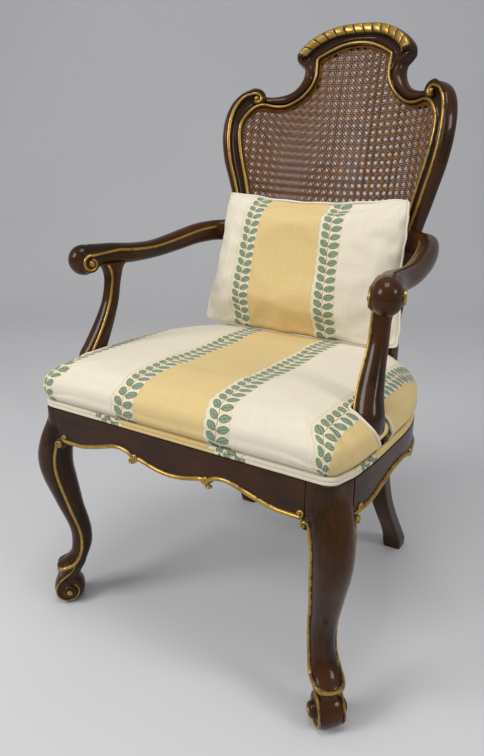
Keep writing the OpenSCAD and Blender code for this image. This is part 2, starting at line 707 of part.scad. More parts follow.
// Direction across the arm, away from the seat
function arm_side(i) =
    let(d = along([for (k = [0:len(arm_share) - 1]) arm_at(k)], i)) unit([-d.y, d.x, 0]);
function arm_skin(i, a) =
    let(s = arm_share[i])
    arm_at(i) + arm_side(i) * s[3] * arm_w * sign_pow(cos(a), 2 / arm_square)
        + [0, 0, s[4] * arm_w * sign_pow(sin(a), 2 / arm_square)];
scroll_at = [scroll_share.x * seat_w / 2, back_of(scroll_share.y * seat_d), arm_z];
scroll_turn = 18;
// Rounding of the scroll's rim on its inner and on its outer side
scroll_round_in = 9;
scroll_round_out = 17;
scroll_button_r = 17;
scroll_button_h = 6;
scroll_eye_r = 8;
module place_scroll() {
    translate(scroll_at) rotate([0, 90, scroll_turn]) children();
}
module round_disc(r, w, below, above) {
    rotate_extrude() polygon(concat(
        [[0, -w / 2]],
        [for (a = [0:15:90]) [r - below + below * sin(a), -w / 2 + below - below * cos(a)]],
        [for (a = [90:15:180]) [r - above + above * sin(a), w / 2 - above - above * cos(a)]],
        [[0, w / 2]]
    ));
}
module arm_body() {
    loft([for (i = [0:len(arm_share) - 1])
        [for (k = [0:arm_sides - 1]) arm_skin(i, full_turn * k / arm_sides)]]);
    place_scroll() round_disc(arm_scroll_r, arm_w, scroll_round_in, scroll_round_out);
    place_scroll() cylinder(r = scroll_button_r, h = arm_w / 2 + scroll_button_h);
}
// What the arm leaves free: the stile, and all that lies behind it and inside it
function free_place(s) =
    [s.x < lip ? s.x - back_t : s.x, s.y < -back_t / 2 ? s.y - 3 * back_t : s.y];
module stile_room() {
    loft([for (i = [0:joint_row])
        let(
            inner = inner_at(i), outer = outer_at(i), dir = unit(outer - inner),
            section = frame_section(norm(outer - inner), roll_at(i), seat_at(i))
        )
        [for (s = section) let(f = free_place(s), p = inner + dir * f.x) on_back(p.x, p.y, f.y)]]);
}
// Room in the arm for the gilt bead that runs down the stile behind it
module bead_channel() {
    loft([for (i = [0:joint_row]) bead_ring(outer_bead_line, i, 0, 3 * gap)]);
}
module arm() {
    color(wood) difference() {
        arm_body();
        stile_room();
        bead_channel();
    }
}
// Gilt bead along the inner side of the arm, round the scroll and into its eye
bead_turn = 160;
scroll_axis = [cos(scroll_turn), sin(scroll_turn), 0];
scroll_front = [sin(scroll_turn), -cos(scroll_turn), 0];
function on_scroll(r, a) =
    scroll_at - scroll_axis * (arm_w / 2) + scroll_front * r * cos(a) + [0, 0, r * sin(a)];
spiral_angles = [110, 80, 50, 20, -10, -40, -70, -100, -130, -160, -190];
spiral_start_share = 0.8;
spiral_end_share = 0.46;
spiral = [for (k = [0:len(spiral_angles) - 1])
    [mix(spiral_start_share, spiral_end_share, k / (len(spiral_angles) - 1)) * arm_scroll_r,
        spiral_angles[k]]];
module arm_bead() {
    last_arm = len(arm_share) - 3;
    line_bead(
        concat(
            [for (i = [2:last_arm]) arm_skin(i, bead_turn) - arm_side(i) * gap],
            [for (s = spiral) on_scroll(s.x, s.y)]
        ),
        concat([for (i = [2:last_arm]) -arm_side(i)], [for (s = spiral) -scroll_axis])
    );
    color(gilt) translate(scroll_at - scroll_axis * (arm_w / 2)) rotate([0, -90, scroll_turn])
        button(scroll_eye_r, scroll_button_h);
}

// Arm post. Rows: across (share of half of seat_w), behind the front rail (share of
// seat_d), height above the rail (share of the arm's), half its width and half its
// depth (shares of arm_w), squareness of the section
post_share = [
    [0.94, 0.334, 0, 0.2, 0.5, 8], [0.94, 0.328, 0.087, 0.21, 0.54, 8],
    [0.943, 0.304, 0.15, 0.34, 0.61, 3], [0.934, 0.281, 0.269, 0.477, 0.62, 2.4],
    [0.915, 0.303, 0.372, 0.45, 0.56, 2.4], [0.902, 0.342, 0.51, 0.4, 0.46, 2.4],
    [0.896, 0.382, 0.664, 0.34, 0.39, 2.4], [0.893, 0.4, 0.802, 0.33, 0.37, 2.4],
    [0.896, 0.408, 0.889, 0.36, 0.46, 2.4], [0.902, 0.414, 0.96, 0.4, 0.6, 2.4]
];
function post_at(i) = let(s = post_share[i])
    [s[0] * seat_w / 2, back_of(s[1] * seat_d), mix(rail_z, arm_z, s[2])];
function post_skin(i, a) =
    let(s = post_share[i])
    post_at(i) + [
        s[3] * arm_w * sign_pow(cos(a), 2 / s[5]), s[4] * arm_w * sign_pow(sin(a), 2 / s[5]), 0
    ];
module post_body() {
    loft([for (i = [0:len(post_share) - 1])
        [for (k = [0:arm_sides - 1]) post_skin(i, full_turn * k / arm_sides)]]);
}
module arm_post() {
    color(wood) difference() {
        post_body();
        arm_body();
        post_dowel(gap);
    }
}
post_bead_turn = 225;
module post_bead() {
    out = [cos(post_bead_turn), sin(post_bead_turn), 0];
    rows = [for (i = [2:len(post_share) - 2]) i];
    line_bead([for (i = rows) post_skin(i, post_bead_turn)], [for (i = rows) out]);
}
// The rebated part of the side rail stops at the foot of the arm post
module post_notch() {
    foot = post_at(0);
    top = post_at(1);
    half_w = post_share[1][3] * arm_w + gap;
    depth = foot.y - top.y + (post_share[0][4] + post_share[1][4]) * arm_w + 2 * gap;
    translate([foot.x - half_w, top.y - post_share[1][4] * arm_w - gap, rail_z])
        cube([2 * half_w, depth, tack_h + 2 * over]);
}
post_dowel_d = 8;
post_dowel_l = 40;
module post_dowel(clear) {
    translate([post_at(0).x, post_at(0).y, rail_z - post_dowel_l / 2 - clear])
        cylinder(d = post_dowel_d + 2 * clear, h = post_dowel_l + 2 * clear, $fn = 32);
}

// Inner face of a side rail in plan
side_inner = inset(side_edge, rail_t);
function inner_side_at(d) = lookup(d, [for (p = side_inner) [p.y, p.x]]);

// Corner blocks, notched round the legs, and the screws that hold them
brace_h = 45;
brace_reach = 56;
brace_drop = 37;
brace_z = rail_z - brace_drop;
screw_d = 4;
screw_head_d = 8;
screw_head_h = 3;
screw_l = 36;
screw_bite = 18;
rear_rail_front = seat_d + rear_rail_back - rail_t;
front_block = [
    [block_in - brace_reach, rail_t], [block_in - gap, rail_t],
    [block_in - gap, block_w + gap], [inner_side_at(block_w + gap) - gap, block_w + gap],
    [inner_side_at(block_w + brace_reach) - gap, block_w + brace_reach]
];
rear_block = [
    [rear_half - brace_reach, rear_rail_front], [rear_half - gap, rear_rail_front],
    [rear_half - gap, seat_d - gap], [inner_side_at(seat_d - gap) - gap, seat_d - gap],
    [inner_side_at(seat_d - brace_reach) - gap, seat_d - brace_reach]
];
screw_z = brace_z + brace_h / 2;
module screw(clear, sink) {
    cylinder(d = screw_d + 2 * clear, h = screw_l + clear, $fn = 24);
    translate([0, 0, -sink])
        cylinder(d = screw_head_d + 2 * clear, h = screw_head_h + sink, $fn = 24);
}
module block_screw_front(clear, sink = 0) {
    translate([block_in - brace_reach * 0.6, back_of(rail_t - screw_bite + screw_l), screw_z])
        rotate([90, 0, 0]) screw(clear, sink);
}
module block_screw_side(clear, sink = 0) {
    d = block_w + brace_reach * 0.6;
    translate([inner_side_at(d) + screw_bite - screw_l, back_of(d), screw_z])
        rotate([0, 90, 0]) screw(clear, sink);
}
module block_screw_rear(clear, sink = 0) {
    translate([rear_half - brace_reach / 2, back_of(rear_rail_front + screw_bite - screw_l), screw_z])
        rotate([-90, 0, 0]) screw(clear, sink);
}
module corner_block(points) {
    translate([0, 0, brace_z]) linear_extrude(height = brace_h) plan(points);
}
module corner_blocks() {
    color(hidden_wood) for (side = [-1, 1]) scale_x(side) {
        difference() {
            corner_block(front_block);
            block_screw_front(gap, brace_reach);
            block_screw_side(gap, brace_reach);
        }
        difference() {
            corner_block(rear_block);
            block_screw_rear(gap, brace_reach);
        }
    }
}
module corner_screws() {
    color(steel) for (side = [-1, 1]) scale_x(side) {
        block_screw_front(0);
        block_screw_side(0);
        block_screw_rear(0);
    }
}

// Webbing: straps woven over and under each other on top of the rails
length_straps = 5;
length_pitch = 62;
cross_share = [0.112, 0.222, 0.431, 0.565, 0.698, 0.832];
weave_edge = 1.5;
weave_rise = strap_t + gap;
function strap_x(j) = (j - (length_straps - 1) / 2) * length_pitch;
module ribbon(line) {
    linear_extrude(height = strap_w, center = true) polygon(concat(
        line, [for (i = [len(line) - 1:-1:0]) line[i] + [0, strap_t]]
    ));
}
function woven(start, end, crossings, parity) = concat(
    [[start, 0]],
    [for (i = [0:len(crossings) - 1], e = [-1, 1])
        [crossings[i] + e * (strap_w / 2 + weave_edge), (i + parity) % 2 * weave_rise]],
    [[end, 0]]
);
module webbing() {
    cross_d = [for (s = cross_share) s * seat_d];
    strap_xs = [for (j = [0:length_straps - 1]) strap_x(j)];
    strap_end = rear_rail_front + rail_t - tack_step - over;
    color(jute) translate([0, 0, tack_z]) {
        for (j = [0:length_straps - 1])
            translate([strap_x(j), back_of(0), 0]) rotate([90, 0, 90])
                ribbon(woven(tack_step + over, strap_end, cross_d, j));
        for (i = [0:len(cross_d) - 1]) {
            reach = side_at(cross_d[i] + strap_w / 2) - rail_t + tack_step * 0.4;
            translate([0, back_of(cross_d[i]), 0]) rotate([90, 0, 0])
                ribbon(woven(-reach, reach, strap_xs, i + 1));
        }
    }
}

// Upholstery outline in plan: the rails' outer face, closed across the rear rail
rear_d = seat_d + rear_rail_back;
rear_edge_share = [0.58, 0.3, 0];
cloth_edge = concat(
    [for (i = [0:len(seat_edge) - 2]) seat_edge[i]],
    [for (s = rear_edge_share) [s * seat_w / 2, rear_d]]
);
// A ring of the cushion: the outline set in, then drawn towards the middle
function cushion_ring(row, tuck, drop) =
    let(
        half = inset(cloth_edge, row[0] * tack_step + tuck),
        middle = [0, seat_d / 2],
        pulled = [for (p = half) mix(p, middle, row[1])],
        z = rail_z + row[2] * crown_h - drop
    )
    concat(
        [for (p = pulled) [p.x, back_of(p.y), z]],
        [for (i = [len(pulled) - 2:-1:1]) [-pulled[i].x, back_of(pulled[i].y), z]]
    );
// Rows: set-in (share of tack_step), pull to the middle (share), height (share of crown_h)
cushion_share = [
    [0.571, 0, 0.004], [0.571, 0, 0.16], [0.1, 0, 0.24], [-0.36, 0, 0.36], [-0.45, 0, 0.5],
    [-0.2, 0, 0.64], [0, 0.035, 0.76], [0, 0.1, 0.86], [0, 0.22, 0.925], [0, 0.42, 0.97],
    [0, 0.65, 0.992], [0, 0.86, 1]
];
lining_share = [
    [0.571, 0, -0.1], [0.571, 0, 0.26], [0.3, 0, 0.32], [-0.3, 0, 0.42], [-0.3, 0, 0.6],
    [0, 0.035, 0.74], [0, 0.12, 0.86], [0, 0.26, 0.93], [0, 0.5, 0.97], [0, 0.8, 0.995]
];
foam_z = tack_z + 2 * strap_t + 2 * gap;
module arm_post_cut(clear) {
    rows = [for (i = [0:6])
        let(s = post_share[i], p = post_at(i)) [p.y, p.z, s[4] * arm_w + clear]];
    inner = min([for (i = [2:5]) post_at(i).x - post_share[i][3] * arm_w]) - clear;
    translate([inner, 0, 0]) rotate([90, 0, 90]) linear_extrude(height = seat_w)
        polygon(concat(
            [[rows[0][0] - rows[0][2], rail_z - crown_h]],
            [for (r = rows) [r[0] - r[2], r[1]]],
            [for (i = [len(rows) - 1:-1:0]) [rows[i][0] + rows[i][2], rows[i][1]]],
            [[rows[0][0] + rows[0][2], rail_z - crown_h]]
        ));
}
cloth_clear = 1.5;
module post_cuts() {
    for (side = [-1, 1]) scale_x(side) {
        arm_post_cut(cloth_clear);
        translate([rear_half - cloth_clear, back_of(seat_d - cloth_clear), 0])
            cube([seat_w, seat_d, back_z]);
    }
}
module seat_cover() {
    color(cloth) difference() {
        loft([for (row = cushion_share) cushion_ring(row, 0, 0)]);
        loft([for (row = lining_share)
            cushion_ring(row, cover_t - gap, row[2] > 0.3 ? cover_t : 0)]);
        post_cuts();
    }
}
module seat_foam() {
    rows = concat([[0.3, 0, (foam_z - rail_z) / crown_h]],
        [for (row = lining_share) if (rail_z + row[2] * crown_h - cover_t > foam_z + over) row]);
    color([0.95, 0.9, 0.75]) difference() {
        loft([for (i = [0:len(rows) - 1])
            cushion_ring(rows[i], cover_t + gap, i == 0 ? 0 : cover_t + gap)]);
        post_cuts();
    }
}

// Double welt along the lower edge of the cover
welt_in = tack_step - cover_t - welt_d / 2 - gap;
// Half the section of the two cords, one on the other, in shares of a cord's radius
welt_share = [[0, 0], [0.87, 0.5], [0.87, 1.5], [0.4, 2], [0.87, 2.5], [0.87, 3.5], [0, 4]];
welt_half = [for (s = welt_share) s * welt_d / 2];
welt_section = concat(
    welt_half, [for (i = [len(welt_half) - 2:-1:1]) [-welt_half[i].x, welt_half[i].y]]
);
module welt_run(path) {
    loft([for (i = [0:len(path) - 1])
        let(p = path[i], side = -left_of(path, i))
        [for (s = welt_section)
            [p.x + side.x * s.x, back_of(p.y + side.y * s.x), rail_z + gap + s.y]]]);
}
module seat_welt() {
    right = [for (i = [0:len(cloth_edge) - 5]) inset(cloth_edge, welt_in)[i]];
    front = concat(flip_x(right), [for (i = [1:len(right) - 1]) right[i]]);
    rear_welt = rear_d - welt_in;
    rear = [[rear_half - cloth_clear, rear_welt], [cloth_clear - rear_half, rear_welt]];
    color(cloth) {
        welt_run(front);
        welt_run(rear);
    }
}

// Dust cloth under the seat, inside the rails and under the corner blocks
dust_t = 1;
dust_share = [0.2, 0.3, 0.42, 0.54, 0.65, 0.755, 0.855, 0.93];
dust_half = concat(
    [[block_in - gap, rail_t + gap], [block_in - gap, block_w + gap]],
    [for (d = concat([block_w + gap], [for (s = dust_share) s * seat_d], [seat_d - gap]))
        [inner_side_at(d) - 2 * gap, d]],
    [[rear_half - gap, seat_d - gap], [rear_half - gap, rear_rail_front - gap]]
);
module dust_cover() {
    color([0.12, 0.12, 0.12]) translate([0, 0, brace_z - gap - dust_t])
        linear_extrude(height = dust_t) plan(concat(dust_half, flip_x(dust_half)));
}

// Loose pillow: a lens at every place across, thinner and lower towards the ends
pillow_w = pillow_w_share * seat_w;
pillow_sit_share = 0.48;
pillow_z = rail_z + crown_h + pillow_sit_share * pillow_h;
pillow_lean = 14;
pillow_rings = 14;
pillow_sides = 12;
pillow_power = 3.2;
// Narrowing from the middle of the pillow to its top
pillow_taper_share = 0.06;
function tapered(x, z) = x * (1 - pillow_taper_share * 2 * z / pillow_h);
// Its long edges draw in a little between the middle and the corners
pillow_draw_share = 0.05;
corner_draw_share = 0.04;
function pillow_half(x) =
    let(s = abs(2 * x / pillow_w))
    pillow_h / 2 * (1 - pillow_draw_share * (1 - s * s) * s) * (1 - corner_draw_share * pow(s, 6));
pillow_fullness = 0.62;
function pillow_depth(x) =
    piping_d / 2 + (pillow_t - piping_d) / 2
        * pow(max(0, 1 - pow(abs(2 * x / pillow_w), pillow_power)), pillow_fullness);
module place_pillow() {
    translate([0, back_of(back_d - pillow_front), pillow_z]) rotate([-pillow_lean, 0, 0]) children();
}
flat_power = 0.8;
lens_power = 1.3;
function pillow_ring(x) =
    let(inner = x * (1 - (piping_d + 2 * gap) / pillow_w), h = pillow_half(x) - piping_d / 2 - gap)
    [for (k = [0:pillow_sides - 1])
        let(a = full_turn * k / pillow_sides, z = h * sign_pow(cos(a), flat_power))
        [tapered(inner, z), pillow_depth(x) * sign_pow(sin(a), lens_power), z]];
module pillow() {
    color(cloth) place_pillow()
        loft([for (k = [0:pillow_rings])
            pillow_ring(-pillow_w / 2 * cos(full_turn / 2 * k / pillow_rings))]);
}
piping_sides = 6;
piping_steps = 10;
module pillow_piping() {
    top = [for (k = [0:piping_steps])
        let(x = pillow_w / 2 * (1 - 2 * k / piping_steps)) [x, pillow_half(x)]];
    bottom = [for (p = top) [-p.x, -p.y]];
    line = [for (p = concat(top, bottom)) [tapered(p.x, p.y), p.y]];
    n = len(line);
    r = piping_d / 2;
    color(cloth) place_pillow() loft([for (i = [0:n - 1])
        let(t = unit(line[(i + 1) % n] - line[(i + n - 1) % n]), side = [-t.y, t.x])
        [for (k = [0:piping_sides - 1])
            let(a = full_turn * k / piping_sides)
            [line[i].x + side.x * r * cos(a), r * sin(a), line[i].y + side.y * r * cos(a)]]],
        closed = true);
}

module post_dowels() {
    color(hidden_wood) for (side = [-1, 1]) scale_x(side) post_dowel(0);
}

mirror([1, 0, 0]) front_leg();  // front_leg_left
front_leg();  // front_leg_right
mirror([1, 0, 0]) rear_post();  // rear_post_left
rear_post();  // rear_post_right
front_rail();
mirror([1, 0, 0]) side_rail();  // side_rail_left
side_rail();  // side_rail_right
rear_rail();
corner_blocks();
corner_screws();
crest_rail();
back_bottom_rail();
crest_gadroon();
inner_back_bead();
mirror([1, 0, 0]) outer_back_bead();  // outer_back_bead_left
outer_back_bead();  // outer_back_bead_right
cane_panel(cane_in);  // front_cane_panel
cane_panel(back_t - cane_in - cane_t);  // rear_cane_panel
back_dowels();
mirror([1, 0, 0]) arm();  // arm_left
arm();  // arm_right
mirror([1, 0, 0]) arm_post();  // arm_post_left
arm_post();  // arm_post_right
post_dowels();
mirror([1, 0, 0]) arm_bead();  // arm_bead_left
arm_bead();  // arm_bead_right
mirror([1, 0, 0]) post_bead();  // post_bead_left
post_bead();  // post_bead_right
mirror([1, 0, 0]) leg_beads();  // leg_beads_left
leg_beads();  // leg_beads_right
front_rail_bead();
mirror([1, 0, 0]) side_rail_bead();  // side_rail_bead_left
side_rail_bead();  // side_rail_bead_right
webbing();
seat_foam();
seat_cover();
seat_welt();
dust_cover();
pillow();
pillow_piping();
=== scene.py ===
# %% [markdown]
# # Open armchair in the French taste, with a caned back
#
# The real chair is a carved walnut frame with gilt mouldings, a back of woven cane, a
# sprung-looking stuffed seat in striped linen and a loose pillow of the same cloth. The
# packed construction model comes first, as a fixed frame: everything made below sits
# where that model says.

# %% Load the imported chair
import json
import math
import bpy
import numpy as np
from mathutils import Matrix, Vector

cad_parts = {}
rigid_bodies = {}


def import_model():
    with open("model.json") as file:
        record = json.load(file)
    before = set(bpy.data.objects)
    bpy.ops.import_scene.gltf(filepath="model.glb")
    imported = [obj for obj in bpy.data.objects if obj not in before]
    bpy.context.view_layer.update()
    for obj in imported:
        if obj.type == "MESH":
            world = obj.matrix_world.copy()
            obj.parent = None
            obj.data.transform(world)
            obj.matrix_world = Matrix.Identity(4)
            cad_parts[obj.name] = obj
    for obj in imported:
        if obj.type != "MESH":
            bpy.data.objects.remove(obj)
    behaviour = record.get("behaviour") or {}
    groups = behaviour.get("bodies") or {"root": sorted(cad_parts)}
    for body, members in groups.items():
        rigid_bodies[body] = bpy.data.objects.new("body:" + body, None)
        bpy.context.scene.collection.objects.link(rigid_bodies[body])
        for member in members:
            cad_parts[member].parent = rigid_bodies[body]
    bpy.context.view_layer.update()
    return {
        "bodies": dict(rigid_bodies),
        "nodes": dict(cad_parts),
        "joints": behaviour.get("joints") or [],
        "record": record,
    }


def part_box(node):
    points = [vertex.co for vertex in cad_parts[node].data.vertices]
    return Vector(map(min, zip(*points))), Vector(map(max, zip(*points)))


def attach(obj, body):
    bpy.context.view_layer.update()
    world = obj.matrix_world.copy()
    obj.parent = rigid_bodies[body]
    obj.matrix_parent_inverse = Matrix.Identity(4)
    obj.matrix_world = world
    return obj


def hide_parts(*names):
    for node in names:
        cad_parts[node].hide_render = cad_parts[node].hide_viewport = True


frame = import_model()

bpy.ops.object.select_all(action="DESELECT")

# %% [markdown]
# ## Camera and light
#
# The camera stands where the photographer stood: a little to the sitter's left, above
# the seat and looking down. Its place was worked out from the chair's own straight
# lines. The lamps are wide and soft, so a colour shows about as it is mixed and the
# polish still gets long highlights. The pale floor turns up into a backdrop without a
# corner.

# %% Set up the camera
YAW, PITCH, ROLL = (math.radians(a) for a in (32.89, 18.84, 0.21))
CAMERA_AT = (0.6445, -1.1180, 0.8924)
LENS, SENSOR = 31.517, 36
back = Vector((math.sin(YAW) * math.cos(PITCH), -math.cos(YAW) * math.cos(PITCH), math.sin(PITCH)))
flat_right = Vector((math.cos(YAW), math.sin(YAW), 0))
flat_up = back.cross(flat_right)
right = math.cos(ROLL) * flat_right + math.sin(ROLL) * flat_up
up = math.cos(ROLL) * flat_up - math.sin(ROLL) * flat_right
bpy.ops.object.camera_add(location=CAMERA_AT)
camera = bpy.context.object
camera.rotation_euler = Matrix((right, up, back)).transposed().to_euler()
camera.data.lens = LENS
camera.data.sensor_width = SENSOR
bpy.context.scene.camera = camera
print("camera at", tuple(camera.location), "lens", camera.data.lens)

# %% Set up the lamps
SUN_TINT, CEILING_TINT, ROOM_TINT, ROOM_LIGHT = (1, 0.97, 0.93), (1, 0.98, 0.95), (1, 0.99, 0.97), 0.37


def soft_lamp(name, place, aim, side, watts, tint):
    """A square lamp at a place, turned to the point it lights."""
    bpy.ops.object.light_add(type="AREA", location=place)
    lamp = bpy.context.object
    lamp.name = name
    lamp.data.size, lamp.data.energy, lamp.data.color = side, watts, tint
    lamp.rotation_euler = (Vector(place) - Vector(aim)).to_track_quat("Z", "Y").to_euler()


soft_lamp("window_left", (-1.3, -2.2, 2.1), aim=(0, 0, 0.5), side=1.1, watts=41, tint=SUN_TINT)
soft_lamp("lamp_right", (2.4, -0.3, 1.9), aim=(0.1, 0, 0.6), side=0.7, watts=16, tint=SUN_TINT)
soft_lamp("ceiling", (0.2, -0.6, 3.0), aim=(0, 0, 0.4), side=1.0, watts=22, tint=CEILING_TINT)
world = bpy.data.worlds.new("room")
bpy.context.scene.world = world
world.use_nodes = True
world.node_tree.nodes["Background"].inputs["Color"].default_value = (*ROOM_TINT, 1)
world.node_tree.nodes["Background"].inputs["Strength"].default_value = ROOM_LIGHT
bpy.context.scene.view_settings.view_transform = "Standard"
print("three soft lamps and a pale room")

# %% [markdown]
# ## Helpers for mixing finishes
#
# A finish is a small graph of nodes. By hand they are dragged in and wired one by one.
# In a script, short helpers keep the graphs readable: one places a node and plugs in its
# inputs, one writes sums as sums, and the others are the few nodes that every finish
# uses. Colours are written as they are seen, from 0 to 255, and changed to the values
# that light works in.

# %% Node helpers
def seen(r, g, b):
    """A colour as it is seen, in the linear values that the renderer uses."""
    parts = [c / 255 for c in (r, g, b)]
    return tuple(c / 12.92 if c <= 0.04045 else ((c + 0.055) / 1.055) ** 2.4 for c in parts) + (1,)


def add(tree, kind, inputs=None, **settings):
    """A node of a kind, with its settings, and its inputs set or linked."""
    node = tree.nodes.new("ShaderNode" + kind)
    for key, value in settings.items():
        setattr(node, key, value)
    for key, value in (inputs or {}).items():
        if isinstance(value, bpy.types.NodeSocket):
            tree.links.new(value, node.inputs[key])
        else:
            node.inputs[key].default_value = value
    return node


def maths(tree):
    """A function that writes one step of a sum as a node, and gives its result."""
    def step(operation, *values):
        return add(tree, "Math", dict(enumerate(values)), operation=operation).outputs[0]
    return step


def places(tree, kind="Object"):
    """Where each point lies in its object, or on its UV map."""
    return add(tree, "TexCoord").outputs[kind]


def noise(tree, place, scale, detail=2.0, **more):
    """A soft random pattern over a place, from about 0 to 1."""
    return add(tree, "TexNoise", {"Vector": place, "Scale": scale, "Detail": detail, **more}).outputs[0]


def stretch(tree, value, low, high):
    """Stretch a value, so that low becomes 0 and high becomes 1."""
    return add(tree, "MapRange", {0: value, 1: low, 2: high}).outputs[0]


def blend_colour(tree, share, first, second, way="MIX"):
    """Mix two colours by a share from 0 to 1."""
    return add(tree, "Mix", {0: share, 6: first, 7: second}, data_type="RGBA", blend_type=way).outputs[2]


def new_group(name, inputs, outputs):
    """An empty node group with named sockets. Gives the tree and its two ends."""
    tree = bpy.data.node_groups.new(name, "ShaderNodeTree")
    for side, sockets in (("INPUT", inputs), ("OUTPUT", outputs)):
        for label, kind in sockets.items():
            tree.interface.new_socket(name=label, in_out=side, socket_type="NodeSocket" + kind)
    return tree, tree.nodes.new("NodeGroupInput").outputs, tree.nodes.new("NodeGroupOutput").inputs


def use_group(tree, group, **inputs):
    """Place a group in a material, with its own values."""
    return add(tree, "Group", inputs, node_tree=group).outputs


def new_finish(name, **plain):
    """A material with one Principled shader. Values that are the same all over go on its sockets."""
    material = bpy.data.materials.new(name)
    material.use_nodes = True
    shader = material.node_tree.nodes["Principled BSDF"]
    for key, value in plain.items():
        shader.inputs[key.replace("_", " ")].default_value = value
    return material, material.node_tree, shader


def paint(tree, shader, colour):
    """Give a finish its colour."""
    tree.links.new(colour, shader.inputs["Base Color"])


def bump(tree, shader, height, distance, strength):
    """Raise and lower the surface by a height, for the shader's normal."""
    node = add(tree, "Bump", {"Strength": strength, "Distance": distance, "Height": height})
    tree.links.new(node.outputs[0], shader.inputs["Normal"])


print("node helpers ready")

# %% [markdown]
# ## Floor and backdrop
#
# A plain sheet of pale paper, swept up behind the chair. The grid starts flat, and its
# rear rows are raised along a quarter circle, so no corner shows.

# %% Sweep the backdrop
SWEEP, NEAR_END, HALF_WIDTH, BEND_AT, BEND_R = 9.0, -3.6, 4.5, 2.4, 1.2
bpy.ops.mesh.primitive_grid_add(x_subdivisions=2, y_subdivisions=60, size=2)
backdrop = bpy.context.object
backdrop.name = "backdrop"
for vertex in backdrop.data.vertices:
    run = NEAR_END + (vertex.co.y + 1) / 2 * SWEEP
    turn = min(max((run - BEND_AT) / BEND_R, 0), math.pi / 2)
    rest = max(run - BEND_AT - BEND_R * math.pi / 2, 0)
    vertex.co = (vertex.co.x * HALF_WIDTH, min(run, BEND_AT) + BEND_R * math.sin(turn),
                 BEND_R * (1 - math.cos(turn)) + rest)
backdrop.rotation_euler = (0, 0, YAW)
bpy.ops.object.transform_apply(location=False, rotation=True, scale=False)
bpy.ops.object.shade_smooth()
paper, tree, shader = new_finish("pale_paper", Roughness=0.8)
cloud = noise(tree, places(tree), 1.5)
paint(tree, shader, blend_colour(tree, cloud, seen(210, 212, 217), seen(217, 219, 224)))
backdrop.data.materials.append(paper)
print("backdrop swept over", SWEEP, "m")

# %% [markdown]
# ## Shaping helpers
#
# Nearly every part of this chair is a moulding: one section carried along a line while
# it grows, shrinks and turns. By hand that is a plane grid, rolled up and welded along
# its seam. The same is done here: a grid is added, each of its rows is laid on one ring
# of the moulding, and edit mode welds the seam, closes the ends and turns the faces
# outward. The grid's own UV map is laid out in real lengths on the way, so that grain
# and cloth later run along the piece. Lengths below are in millimetres, as on a maker's
# drawing, and become metres when they are laid. A value called shade_and_hold can be
# stored with the rings. On wood and gilding it is painted shade: 0 is clean, 1 is the
# darkest painted shade on the wood, over some old polish, and on gilding it pushes the
# gold toward bare brown ground. On cloth it says how firmly a point is held.

# %% Lay a grid on rings
MM = 0.001


def smooth(rows, steps):
    """A smooth curve through rows of numbers, with a few steps between each pair."""
    rows = np.asarray(rows, float)
    ends = np.vstack([rows[:1], rows, rows[-1:]])
    a, b, c, d = ends[:-3, None], ends[1:-2, None], ends[2:-1, None], ends[3:, None]
    t = (np.arange(steps) / steps)[None, :, None]
    line = (2 * b + (c - a) * t + (2 * a - 5 * b + 4 * c - d) * t**2 + (3 * b - a - 3 * c + d) * t**3) / 2
    return np.vstack([line.reshape(-1, rows.shape[1]), rows[-1:]])


def edit(obj):
    """Go into edit mode on one object, with everything selected."""
    bpy.ops.object.select_all(action="DESELECT")
    obj.select_set(True)
    bpy.context.view_layer.objects.active = obj
    bpy.ops.object.mode_set(mode="EDIT")
    bpy.ops.mesh.select_all(action="SELECT")


def run_of(line):
    """Length from the start of a line to each of its points."""
    return np.append(0, np.cumsum(np.linalg.norm(np.diff(line, axis=0), axis=1)))


def lay(name, rings, around=True, loop=False, caps=True, sharp=50, shade_and_hold=None, cloth=None):
    """Lay a grid on rings of places, weld it and close it. cloth gives each place on the cloth in mm."""
    layers = [np.asarray(layer, float) for layer in (rings, shade_and_hold) if layer is not None]
    if around:
        layers = [np.concatenate([layer, layer[:, :1]], axis=1) for layer in layers]
    if loop:
        layers = [np.concatenate([layer, layer[:1]]) for layer in layers]
    rings = layers[0]
    rows, cols = rings.shape[:2]
    bpy.ops.mesh.primitive_grid_add(x_subdivisions=cols - 1, y_subdivisions=rows - 1, size=2)
    obj = bpy.context.object
    obj.name = obj.data.name = name
    mesh = obj.data
    flat = np.empty(len(mesh.vertices) * 3)
    mesh.vertices.foreach_get("co", flat)
    col = np.rint((flat[0::3] + 1) / 2 * (cols - 1)).astype(int)
    row = np.rint((flat[1::3] + 1) / 2 * (rows - 1)).astype(int)
    mesh.vertices.foreach_set("co", (rings[row, col] * MM).ravel())
    for stored in layers[1:]:
        mesh.attributes.new("shade_and_hold", "FLOAT", "POINT").data.foreach_set("value", stored[row, col])
    across = np.append(0, np.cumsum(np.linalg.norm(np.diff(rings, axis=1), axis=2).mean(0))) * MM
    along = np.append(0, np.cumsum(np.linalg.norm(np.diff(rings, axis=0), axis=2).mean(1))) * MM
    corner = np.empty(len(mesh.loops), int)
    mesh.loops.foreach_get("vertex_index", corner)
    lengths = np.stack([across[col], along[row]], 1)
    if cloth is not None:
        lengths = np.asarray(cloth, float)[row % len(cloth), col % len(cloth[0])] * MM
    mesh.uv_layers[0].data.foreach_set("uv", lengths[corner].ravel())
    edit(obj)
    bpy.ops.mesh.remove_doubles(threshold=1e-6)
    if caps and around and not loop:
        bpy.ops.mesh.fill_holes(sides=0)
    bpy.ops.mesh.normals_make_consistent(inside=False)
    bpy.ops.object.mode_set(mode="OBJECT")
    bpy.ops.object.shade_smooth_by_angle(angle=math.radians(sharp))
    return obj


